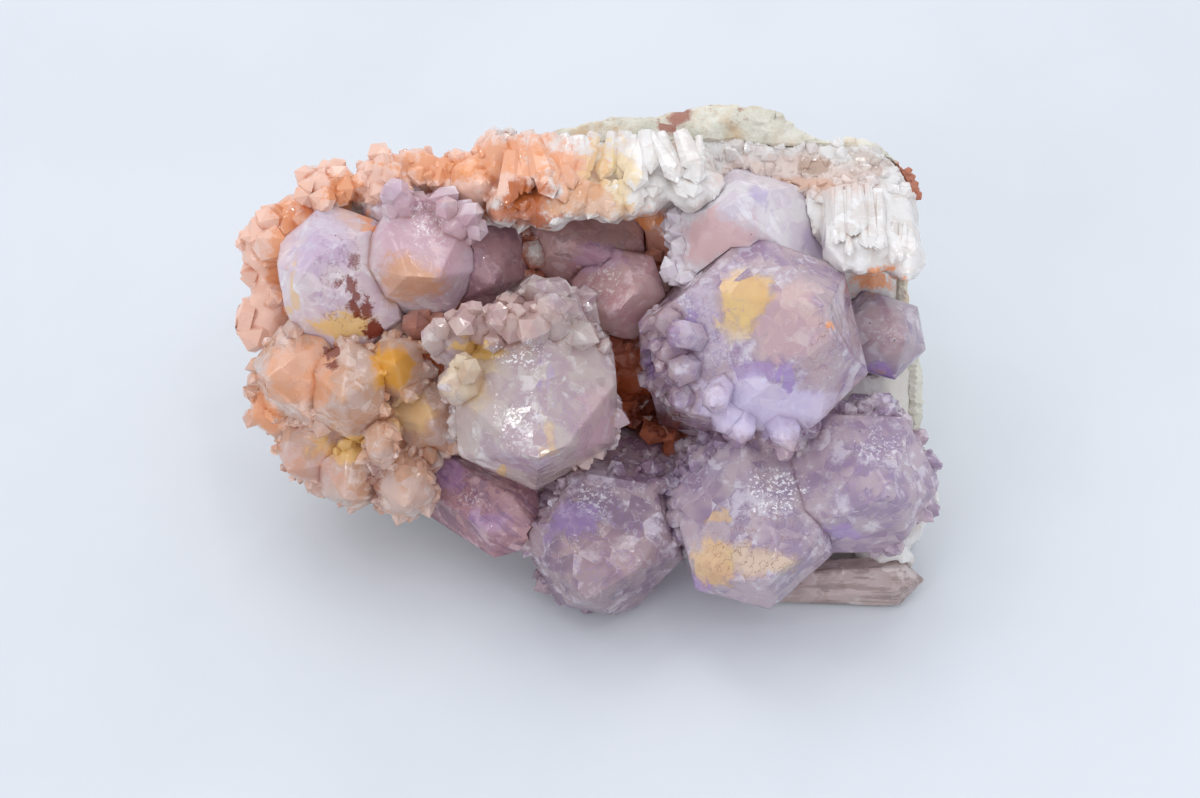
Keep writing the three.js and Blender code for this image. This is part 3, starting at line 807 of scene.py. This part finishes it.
def quartz(name, palette, surface, stains, clear, specks=True, streaks=None):
    """Glassy quartz with its zones, veils, growth lines and stains."""
    paint = Paint(name)
    broken = paint.shattered(paint.place, ZONE_SHIFT)
    milk = paint.span(paint.noise(VEIL_SIZE, detail=4, roughness=0.65, place=broken), 0.5, 0.64)
    colour = quartz_colour(paint, palette, milk, broken, streaks)
    for stain in stains:
        colour = paint.stain(colour, surface, *stain)
    if specks:
        colour = dark_specks(paint, colour)
    paint.fill(paint.shader, {"Base Color": colour, "IOR": QUARTZ_IOR})
    quartz_clearness(paint, milk, clear)
    quartz_surface(paint)
    quartz_depth(paint, palette)
    return paint.material


# Each palette: its pale, deep and veil colours, its crease colour, which is part iron stain and
# part painted shade, then the colour and strength of its depth.
CREAM = Palette((244, 226, 220), (216, 184, 198), (252, 248, 246), (196, 140, 112), (246, 234, 232), 6)
LAVENDER = Palette((236, 210, 216), (186, 152, 196), (250, 246, 254), (168, 124, 134), (238, 222, 240), 6)
DEEP_LAVENDER = Palette(
    (234, 212, 220), (176, 148, 190), (250, 244, 252), (150, 108, 124), (232, 214, 238), 8)
BRIGHT_LAVENDER = Palette(
    (254, 246, 250), (238, 222, 238), (255, 252, 255), (196, 150, 150), (242, 232, 244), 4)
ROSE = Palette((200, 172, 180), (142, 108, 146), (242, 232, 242), (150, 104, 120), (230, 204, 226), 10)
PALE_ROSE = Palette((254, 234, 238), (232, 202, 222), (255, 252, 253), (196, 140, 112), (246, 234, 240), 5)
BLUSH = Palette((255, 222, 206), (252, 190, 146), (255, 240, 232), (216, 116, 62), (250, 228, 214), 4)
DUSKY = Palette((255, 210, 206), (236, 174, 180), (250, 226, 228), (130, 76, 60), (236, 204, 208), 8)
MAUVE = Palette((222, 172, 176), (182, 134, 152), (240, 210, 216), (110, 60, 50), (232, 196, 204), 10)
SMOKE = Palette((234, 212, 208), (206, 182, 178), (242, 230, 226), (120, 90, 80), (232, 218, 212), 12)
WHITE = Palette((240, 236, 232), (226, 214, 206), (250, 248, 246), (206, 170, 140), (250, 244, 238), 4)

# Tones of the stains and marks.
# Painted glints: pure white flecks that stand in for sparkles of light on the facets.
PAINTED_GLINT = (255, 255, 255)
CHALK = (216, 210, 196)
BLOOM = (232, 182, 158)
FADED_ROSE = (196, 140, 128)
UMBER = (166, 136, 112)
AMBER = (176, 88, 28)
TAN = (208, 152, 108)
DUSK = (192, 148, 134)
# Brownish mauve, part the crystal's own tone and part painted shade.
PLUM_AND_SHADE = (208, 168, 166)
PINK = (188, 146, 154)
HONEY = (214, 150, 44)
OCHRE = (226, 178, 70)
PALE_OCHRE = (232, 200, 130)
PEACH = (214, 176, 158)
LILAC = (216, 208, 236)
ORANGE = (226, 142, 80)
DEEP_ORANGE = (196, 92, 34)
BRICK = (176, 84, 46)
LIVER = (150, 70, 50)
RUST = (120, 48, 34)
VIOLET = (150, 116, 186)
WINE = (150, 108, 140)
UMBER_ROSE = (140, 110, 100)
# Brown, part iron stain and part painted shade.
BROWN_STAIN_AND_SHADE = (168, 84, 48)
# Painted shadow: near-black brown for dark holes and places under overhangs.
SHADOW_BROWN = (80, 26, 16)
SPECK = (40, 34, 36)
ROCK_PALE = (226, 222, 208)
ROCK_DEEP = (200, 196, 178)
ROCK_TAN = (206, 176, 138)
ROCK_RUST = (150, 82, 50)
# Painted shade for the rock's creases.
ROCK_CREVICE_SHADE = (120, 96, 74)
ROCK_GRIT = (96, 84, 70)

# Growth lines along a prism that lies on its side: their tone, their way and how strong they are.
STREAKS = {
    "lower_left_prism": (WINE, -36, 0.6),
    "bottom_prism": (UMBER_ROSE, 0, 0.5),
}


# Each row is a stain, a painted glint or a painted shadow: its tone, the pixel that it lies at, and
# its half width and half height in pixels. Then come how strong it is, how many millimetres deep it
# reaches, how broken its edge is and the pattern that it is broken up by, where they differ from the usual.
def painted_glints(across, down, wide, tall, strength, deep=4.0):
    """Painted glints: white flecks scattered over a stain's place, standing in for sparkles of light."""
    return (PAINTED_GLINT, across, down, wide, tall, strength, deep, 0.5, "flecks")


def cracks(tone, across, down, wide, tall, strength, deep):
    """Thin lines of a tone, winding over a stain's place."""
    return (tone, across, down, wide, tall, strength, deep, 0.3, "cracks")


def front_right_stains():
    return [
        # Paler lilac on the lower face, part the crystal's tone and part painted reflection.
        (LILAC, 760, 405, 90, 34, 0.7),
        (LILAC, 700, 330, 24, 50, 0.4),
        (PEACH, 790, 325, 42, 45, 0.55),
        (OCHRE, 745, 298, 26, 30, 0.75),
        (PALE_OCHRE, 738, 322, 18, 20, 0.6),
        (VIOLET, 757, 372, 32, 10, 0.5),
        (VIOLET, 785, 380, 6, 14, 0.7),
        (VIOLET, 692, 314, 10, 8, 0.6),
        (VIOLET, 656, 366, 14, 14, 0.6),
        (ORANGE, 832, 327, 5, 5, 0.9),
        # Painted shadow in the dark hole below the point.
        (SHADOW_BROWN, 668, 424, 26, 16, 0.9, 8.0, 0.4),
        painted_glints(690, 300, 10, 12, 0.5),
        painted_glints(720, 352, 22, 18, 0.35),
        cracks(RUST, 838, 345, 26, 40, 0.5, 4.0),
        cracks(VIOLET, 700, 350, 60, 60, 0.5, 6.0),
    ]


def centre_stains():
    return [
        (DUSK, 490, 318, 66, 32, 0.6, 9.0),
        (DUSK, 600, 470, 30, 20, 0.5, 9.0),
        (PALE_OCHRE, 470, 375, 26, 34, 0.5),
        (OCHRE, 480, 348, 30, 8, 0.8),
        (VIOLET, 520, 462, 30, 16, 0.3),
        (VIOLET, 544, 378, 4, 16, 0.5),
        (PINK, 596, 430, 30, 46, 0.6),
        (OCHRE, 548, 440, 7, 22, 0.45),
        (OCHRE, 504, 472, 5, 9, 0.7),
        painted_glints(520, 352, 30, 12, 0.8),
        painted_glints(520, 418, 22, 26, 0.5),
        cracks(VIOLET, 560, 420, 40, 40, 0.4, 6.0),
    ]


def lower_right_stains():
    return [
        (OCHRE, 715, 562, 26, 22, 0.65, 4.0, 0.5),
        (PALE_OCHRE, 760, 560, 40, 14, 0.5),
        (OCHRE, 715, 516, 12, 6, 0.6),
        (VIOLET, 700, 582, 10, 12, 0.6),
        (VIOLET, 846, 530, 22, 8, 0.7, 7.0),
        (VIOLET, 672, 538, 12, 14, 0.4),
        painted_glints(775, 492, 34, 26, 0.8),
        painted_glints(880, 450, 26, 20, 0.5, 7.0),
        cracks(RUST, 750, 545, 60, 36, 0.6, 5.0),
        cracks(VIOLET, 870, 480, 50, 60, 0.5, 7.0),
    ]


def lower_middle_stains():
    return [
        (VIOLET, 578, 518, 24, 14, 0.5),
        (VIOLET, 552, 530, 14, 10, 0.4),
        (PEACH, 606, 552, 46, 26, 0.3),
        cracks(VIOLET, 600, 540, 50, 50, 0.5, 6.0),
        painted_glints(596, 500, 22, 14, 0.5),
    ]


def upper_right_stains():
    return [
        # On the shaded left face: part its own brownish mauve, part painted shade.
        (PLUM_AND_SHADE, 712, 236, 50, 28, 0.85),
        (PEACH, 705, 268, 34, 14, 0.5),
        (VIOLET, 762, 200, 12, 12, 0.5),
        (VIOLET, 820, 245, 22, 14, 0.35),
    ]


def upper_left_stains():
    return [
        (OCHRE, 340, 326, 34, 14, 0.8),
        (OCHRE, 290, 290, 5, 26, 0.6),
        (PINK, 425, 240, 52, 56, 0.8, 6.0),
        (TAN, 408, 284, 34, 30, 0.8),
        (ORANGE, 424, 200, 16, 14, 0.9),
        (ORANGE, 366, 222, 8, 12, 0.8),
        (PEACH, 352, 205, 18, 20, 0.6),
        (RUST, 348, 256, 6, 8, 0.8, 4.0, 0.6),
        (RUST, 350, 288, 7, 14, 0.9, 4.0, 0.6),
        (RUST, 362, 308, 8, 12, 0.95, 4.0, 0.6),
        (RUST, 369, 328, 9, 10, 1.0, 4.0, 0.6),
        cracks(RUST, 340, 270, 24, 60, 0.6, 4.0),
        painted_glints(425, 225, 20, 18, 0.5),
        painted_glints(318, 225, 20, 20, 0.4),
        (VIOLET, 318, 240, 26, 50, 0.3, 6.0),
    ]


def prism_stains():
    return [
        (VIOLET, 445, 480, 20, 16, 0.5),
        (VIOLET, 490, 520, 24, 14, 0.4),
        painted_glints(470, 500, 20, 10, 0.4),
    ]


def right_edge_stains():
    return [
        (VIOLET, 877, 372, 16, 7, 0.8),
        (TAN, 868, 385, 20, 10, 0.6),
        (DUSK, 885, 330, 22, 30, 0.4),
        painted_glints(880, 335, 16, 12, 0.4),
    ]


def recess_stains():
    return [
        # Painted shadow where the band's fans hang over the pair.
        (SHADOW_BROWN, 600, 240, 40, 14, 0.45, 5.0, 0.5),
        (VIOLET, 600, 260, 30, 14, 0.35),
        painted_glints(605, 285, 16, 18, 0.5),
    ]


def cluster_stains():
    return [
        (HONEY, 394, 368, 22, 32, 0.95),
        (ORANGE, 300, 375, 40, 40, 0.6),
        (ORANGE, 262, 415, 20, 26, 0.8),
        (OCHRE, 345, 450, 40, 14, 0.8),
        (PALE_OCHRE, 410, 415, 22, 24, 0.6),
        (RUST, 330, 358, 9, 8, 0.9, 5.0, 0.6),
        (RUST, 372, 480, 6, 34, 0.7, 5.0, 0.6),
        (FADED_ROSE, 300, 470, 40, 30, 0.5),
    ]


def no_stains():
    return []


def band_recess_stain_and_shade():
    """Brown deep in the hollow, part iron stain and part painted shade."""
    return [
        (BROWN_STAIN_AND_SHADE, 560, 330, 150, 90, 0.9, 8.0),
        (BROWN_STAIN_AND_SHADE, 660, 420, 90, 70, 0.95, 8.0),
        # Painted shadow in the deepest hole of the hollow.
        (SHADOW_BROWN, 665, 415, 34, 22, 0.9, 6.0, 0.5),
        (BROWN_STAIN_AND_SHADE, 650, 240, 26, 40, 0.8, 5.0),
    ]


def band_edge_stains():
    """Iron stains along the left and the top, dusty ones on the ledge at the right, and brown, part
    stain and part painted shade, on two shaded places.
    """
    return [
        (BLOOM, 270, 270, 80, 120, 0.9, 14.0),
        (BLOOM, 400, 170, 190, 50, 0.85, 14.0),
        (DEEP_ORANGE, 280, 270, 90, 130, 0.9, 14.0, 0.3, "crevices"),
        (DEEP_ORANGE, 420, 165, 200, 60, 0.9, 14.0, 0.3, "crevices"),
        (ORANGE, 290, 250, 18, 60, 0.7, 9.0, 0.7),
        (ORANGE, 440, 168, 50, 12, 0.7, 9.0, 0.7),
        (ORANGE, 345, 190, 20, 14, 0.7, 9.0, 0.7),
        (ORANGE, 500, 160, 50, 18, 0.6, 9.0, 0.7),
        (ORANGE, 575, 175, 30, 36, 0.6, 9.0, 0.7),
        (PALE_OCHRE, 622, 180, 12, 34, 0.6, 9.0, 0.6),
        (PALE_OCHRE, 600, 170, 14, 30, 0.5, 9.0, 0.6),
        (AMBER, 525, 200, 26, 18, 0.95, 9.0, 0.4),
        (AMBER, 428, 360, 22, 20, 0.9, 8.0),
        (TAN, 590, 205, 34, 16, 0.7, 9.0, 0.5),
        (TAN, 800, 188, 40, 6, 0.7, 9.0, 0.5),
        (AMBER, 522, 218, 46, 8, 0.85, 9.0, 0.5),
        (TAN, 590, 221, 50, 8, 0.8, 9.0, 0.5),
        # Brown on two shaded places, part their amber-brown stain and part painted shade.
        (BROWN_STAIN_AND_SHADE, 430, 330, 40, 44, 0.8, 9.0),
        (BROWN_STAIN_AND_SHADE, 522, 262, 16, 40, 0.85, 9.0),
        (ORANGE, 640, 222, 30, 8, 0.8, 9.0, 0.5),
        (ORANGE, 874, 280, 26, 9, 0.9, 12.0, 0.5),
        (PEACH, 790, 180, 90, 22, 0.5, 9.0, 0.6),
        (UMBER, 815, 170, 16, 9, 0.7, 9.0, 0.6),
        (UMBER, 870, 162, 20, 9, 0.5, 9.0, 0.6),
        (CHALK, 905, 360, 34, 70, 0.7, 14.0),
    ]


def rock_stains():
    return [
        (BRICK, 915, 190, 26, 44, 0.85, 14.0),
        (LIVER, 675, 118, 14, 12, 0.8, 14.0),
    ]


def band_material(surface):
    """White columnar quartz, iron-stained at the left, and brown deep in the hollow, part stain and
    part painted shade.
    """
    stains = band_recess_stain_and_shade() + band_edge_stains()
    return quartz("white_columnar_quartz", WHITE, surface, stains, BAND_CLEAR, specks=False)


def host_rock_material(surface):
    """Fine-grained grey-green rock with a tan skin, rusty joints and painted shade in its creases."""
    paint = Paint("grey_green_host_rock")
    body = paint.span(paint.noise(5.0, detail=5, roughness=0.6), 0.35, 0.65)
    colour = paint.mix(body, linear(*ROCK_PALE), linear(*ROCK_DEEP))
    broad = paint.span(paint.noise(14.0, detail=3), 0.42, 0.6)
    skin = paint.span(paint.noise(2.6, detail=6, roughness=0.7), 0.42, 0.64)
    colour = paint.lay(colour, ROCK_TAN, paint.math("MULTIPLY", broad, skin), 0.8)
    joints = paint.span(paint.share("coarse"), 0.58, 0.7)
    colour = paint.lay(colour, ROCK_RUST, paint.math("MULTIPLY", broad, joints), 0.8)
    # Painted shade: darker and browner deep in the creases.
    colour = paint.lay(colour, ROCK_CREVICE_SHADE, paint.share("crevices"), 0.6)
    for stain in rock_stains():
        colour = paint.stain(colour, surface, *stain)
    grit = paint.noise(0.35, detail=4, roughness=0.75)
    colour = paint.mix(paint.span(grit, 0.6, 0.75, 0.0, 0.5), colour, linear(*ROCK_GRIT))
    paint.fill(paint.shader, {"Base Color": colour, "Roughness": paint.span(grit, 0.3, 0.7, 0.45, 0.8)})
    height = paint.math("MULTIPLY_ADD", paint.noise(1.4, detail=5, roughness=0.6), 1.2, grit)
    paint.bump(height, 0.7, 0.25)
    return paint.material


def floor_material():
    """A matt white surface, very faintly mottled."""
    paint = Paint("pale_floor")
    mottle = paint.span(paint.noise(FLOOR_MOTTLE, detail=4), 0.35, 0.7)
    first, second = (linear(*tone) for tone in FLOOR_TONES)
    colour = paint.mix(mottle, first, second)
    paint.fill(paint.shader, {"Base Color": colour, "Roughness": 0.8, "Specular IOR Level": 0.2})
    return paint.material


# Stage.
def make_camera():
    data = bpy.data.cameras.new("camera")
    data.lens = CAMERA_LENS
    data.sensor_width = CAMERA_SENSOR
    data.clip_start, data.clip_end = CAMERA_CLIP
    camera = new_object("camera", data)
    camera.location = GROWTH @ Vector(CAMERA_PLACE)
    camera.rotation_euler = (GROWTH_LEAN, 0, 0)
    bpy.context.scene.camera = camera


def area_light(name, place, size, power, colour):
    """A round light that faces the part."""
    data = bpy.data.lights.new(name, "AREA")
    data.shape = "DISK"
    data.size = size
    data.energy = power
    data.color = colour
    light = new_object(name, data)
    light.location = place
    light.rotation_euler = (-Vector(place)).to_track_quat("-Z", "Y").to_euler()


def make_floor():
    half = FLOOR_HALF
    corners = [(-half, -half, 0), (half, -half, 0), (half, half, 0), (-half, half, 0)]
    mesh = bpy.data.meshes.new("floor")
    mesh.from_pydata(corners, [], [(0, 1, 2, 3)])
    mesh.materials.append(floor_material())
    floor = new_object("floor", mesh)


def make_sky():
    world = bpy.data.worlds.new("studio")
    world.use_nodes = True
    nodes = Nodes(world.node_tree)
    way = nodes.node("ShaderNodeTexCoord", {}).outputs["Generated"]
    toward = nodes.vector_math("DOT_PRODUCT", way, unit(SKY_LIGHT))["Value"]
    least, most = SKY_STRENGTH
    inputs = {"Value": toward, "From Min": SKY_START, "To Min": least, "To Max": most}
    strength = nodes.node("ShaderNodeMapRange", inputs).outputs["Result"]
    sky = world.node_tree.nodes["Background"]
    nodes.fill(sky, {"Strength": strength, "Color": linear(*SKY_COLOUR)})
    bpy.context.scene.world = world


def make_studio():
    make_sky()
    for light in LIGHTS:
        area_light(*light)
    for number, place in enumerate(GLINTS):
        area_light("glint_%d" % number, place, GLINT_SIZE, GLINT_POWER, GLINT_COLOUR)
    make_floor()
    scene = bpy.context.scene
    scene.view_settings.view_transform = "Standard"
    scene.cycles.use_denoising = True
    scene.cycles.max_bounces = BOUNCES
    scene.cycles.transmission_bounces = BOUNCES_THROUGH


# Pieces.
def finish_piece(obj, node, material):
    """Keeps the piece inside the solids' box, and puts it in its node's place."""
    low, high = (np.array(corner) for corner in cad_box)
    mesh = obj.data
    set_points(mesh, np.clip(points_of(mesh), low, high))
    mesh.materials.clear()
    mesh.materials.append(material)
    mesh.polygons.foreach_set("use_smooth", [True] * len(mesh.polygons))
    mesh.set_sharp_from_angle(angle=SHARP_ANGLE)
    mark_crevices(mesh)
    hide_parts(node)
    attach(obj, "root")


def coat(count, seed, crystal, *places, size=(0.4, 1.3), length=(1.0, 2.0)):
    """Small crystals on a large crystal's sides, within places given as in around."""
    return Growth(count, seed, on_walls(crystal, around(*places)), size, length)


AMETHYST = "amethyst_points"
RECESS_AMETHYST = "recess_amethyst"

# Each piece's growths have their count, their seed, the crystal that they grow on and their places.
CRYSTAL_PIECES = [
    Piece("centre_quartz_point", "centre_point", "cream_quartz", CREAM, centre_stains, [
        coat(70, 11, CENTRE, (500, 325, 5, 8), (570, 315, 4, 6), size=(0.7, 2.3), length=(1.2, 2.2)),
        coat(120, 12, CENTRE, (450, 390, 1, 6), (610, 440, 0, 6), length=(0.8, 1.6)),
    ]),
    Piece("front_right_amethyst_point", "front_right_point", AMETHYST, LAVENDER, front_right_stains, [
        coat(200, 21, FRONT_RIGHT, (655, 358, 0, 5.5), size=(0.35, 1.2), length=(1.4, 2.6)),
        coat(120, 22, FRONT_RIGHT, (780, 440, -1, 7), size=(0.4, 1.4)),
    ]),
    Piece("lower_right_amethyst_pair", "lower_right_points", AMETHYST, DEEP_LAVENDER, lower_right_stains, [
        coat(160, 31, LOWER_RIGHT, (690, 470, 0, 8), (780, 450, -2, 7)),
        coat(160, 32, LOWER_RIGHT_NEIGHBOUR, (930, 500, -2, 9), (860, 420, -2, 7)),
    ]),
    Piece("lower_middle_amethyst_point", "lower_middle_point", AMETHYST, ROSE, lower_middle_stains, [
        coat(160, 41, LOWER_MIDDLE, (530, 520, -3, 8), (670, 500, -3, 8)),
    ]),
    Piece("upper_left_quartz_pair", "upper_left_points", "cream_quartz", PALE_ROSE, upper_left_stains, [
        coat(100, 51, UPPER_LEFT_NEIGHBOUR, (430, 200, 2, 7), size=(0.5, 1.8), length=(1.0, 1.8)),
    ]),
    Piece("left_quartz_cluster", "left_cluster", "stained_quartz", BLUSH, cluster_stains, [
        coat(420, 61, LEFT_CLUSTER, (350, 430, 0, 16), size=(0.4, 1.4)),
    ]),
    Piece("lower_left_amethyst_prism", "lower_left_prism", RECESS_AMETHYST, MAUVE, prism_stains, []),
    Piece("recess_amethyst_pair", "recess_points", RECESS_AMETHYST, DUSKY, recess_stains, []),
    Piece("recess_left_amethyst_point", "recess_left_point", RECESS_AMETHYST, MAUVE, no_stains, []),
    Piece("upper_right_amethyst_point", "upper_right_point", AMETHYST, BRIGHT_LAVENDER, upper_right_stains, [
        coat(120, 71, UPPER_RIGHT, (670, 250, 2, 7), size=(0.4, 1.4)),
    ]),
    Piece("right_edge_amethyst_point", "right_edge_point", AMETHYST, DEEP_LAVENDER, right_edge_stains, []),
    Piece("bottom_smoky_prism", "bottom_prism", "smoky_quartz", SMOKE, no_stains, []),
]


def make_crystals():
    for number, (node, name, slot, palette, stains, growths) in enumerate(CRYSTAL_PIECES):
        piece = cut_fine(name, node, CRYSTAL_GRAIN)
        relief(piece, CRYSTAL_GRAIN, CRYSTAL_RELIEF, CRYSTAL_SEED_STEP * number)
        for growth in growths:
            grow(piece, growth)
        surface = surface_of(node)
        clear, streaks = CLOUDED.get(name, CLEAR), STREAKS.get(name)
        material = quartz(name + "_quartz", palette, surface, stains(), clear, streaks=streaks)
        finish_piece(piece, node, material)


# Rows of blades: the pixels down the picture of their upper and lower ends, how far they stand off
# the surface, how much longer each may be, and how many there are.
FAN_ROWS = [
    Row(140, 184, 0.3, (0.9, 1.15), 26),
    Row(146, 200, 0.6, (0.85, 1.15), 26),
    Row(160, 212, 1.0, (0.85, 1.15), 26),
    Row(182, 217, 0.5, (0.8, 1.25), 26),
]
COLUMN_ROWS = [
    Row(190, 250, 1.0, (0.8, 1.15), 18),
    Row(204, 264, 1.0, (0.8, 1.1), 18),
    Row(226, 270, 0.5, (0.7, 1.15), 18),
]
FANS = Blades(94, (510, 700), FAN_ROWS, 18, (0.9, 1.6), (0.35, 0.55), 16)
COLUMNS = Blades(96, (830, 905), COLUMN_ROWS, 4, (0.5, 1.0), (0.6, 0.9), 12)


def band_growths(surface):
    """The crusts of small crystals in the hollow, down the left edge, along the top and on the ledge."""
    hollow = on_floor(around((560, 330, -8, 14), (660, 420, -8, 12), (430, 350, -8, 8)))
    left = on_floor(around((265, 270, -6, 9), (300, 190, -6, 7)), way=(-0.6, 0.2, 0.7), follow=0.8)
    top = on_floor(around((400, 165, -5, 12), (520, 170, -5, 7)), follow=0.6)
    ledge_places = [(700, 150, 4), (740, 165, 5), (800, 172, 5), (860, 176, 5), (895, 180, 4)]
    ledge = on_floor(near(surface, *ledge_places))
    return [
        Growth(700, 91, hollow, (0.5, 2.0), (0.8, 1.8)),
        Growth(130, 92, left, (0.9, 2.3), (0.4, 1.2), jitter=0.4, most=5),
        Growth(180, 93, top, (0.7, 1.8), (0.2, 0.9), jitter=0.4, most=5),
        Growth(300, 95, ledge, (0.4, 1.3), (0.1, 0.6), jitter=0.5, most=6),
    ]


def make_band():
    node = "columnar_quartz_base"
    surface = surface_of(node)
    piece = remade("columnar_band", node, BAND_GRAIN)
    relief(piece, BAND_GRAIN, BAND_RELIEF, BAND_SEED)
    for growth in band_growths(surface):
        grow(piece, growth)
    for kind in (FANS, COLUMNS):
        grow_on(piece, blades(surface, kind), kind.most)
    thin_out(piece, BAND_SHARE)
    finish_piece(piece, node, band_material(surface))


def make_rock():
    node = "host_rock_rind"
    surface = surface_of(node)
    piece = remade("host_rock", node, ROCK_GRAIN)
    relief(piece, ROCK_GRAIN, ROCK_RELIEF, ROCK_SEED, ROCK_SWELL)
    corner = on_floor(near(surface, (912, 170, 3), (918, 190, 3), (912, 225, 2)), follow=1.5)
    grow(piece, Growth(40, 97, corner, (0.6, 1.5), (0.1, 0.4)))
    finish_piece(piece, node, host_rock_material(surface))


make_camera()
make_studio()
make_crystals()
make_band()
make_rock()
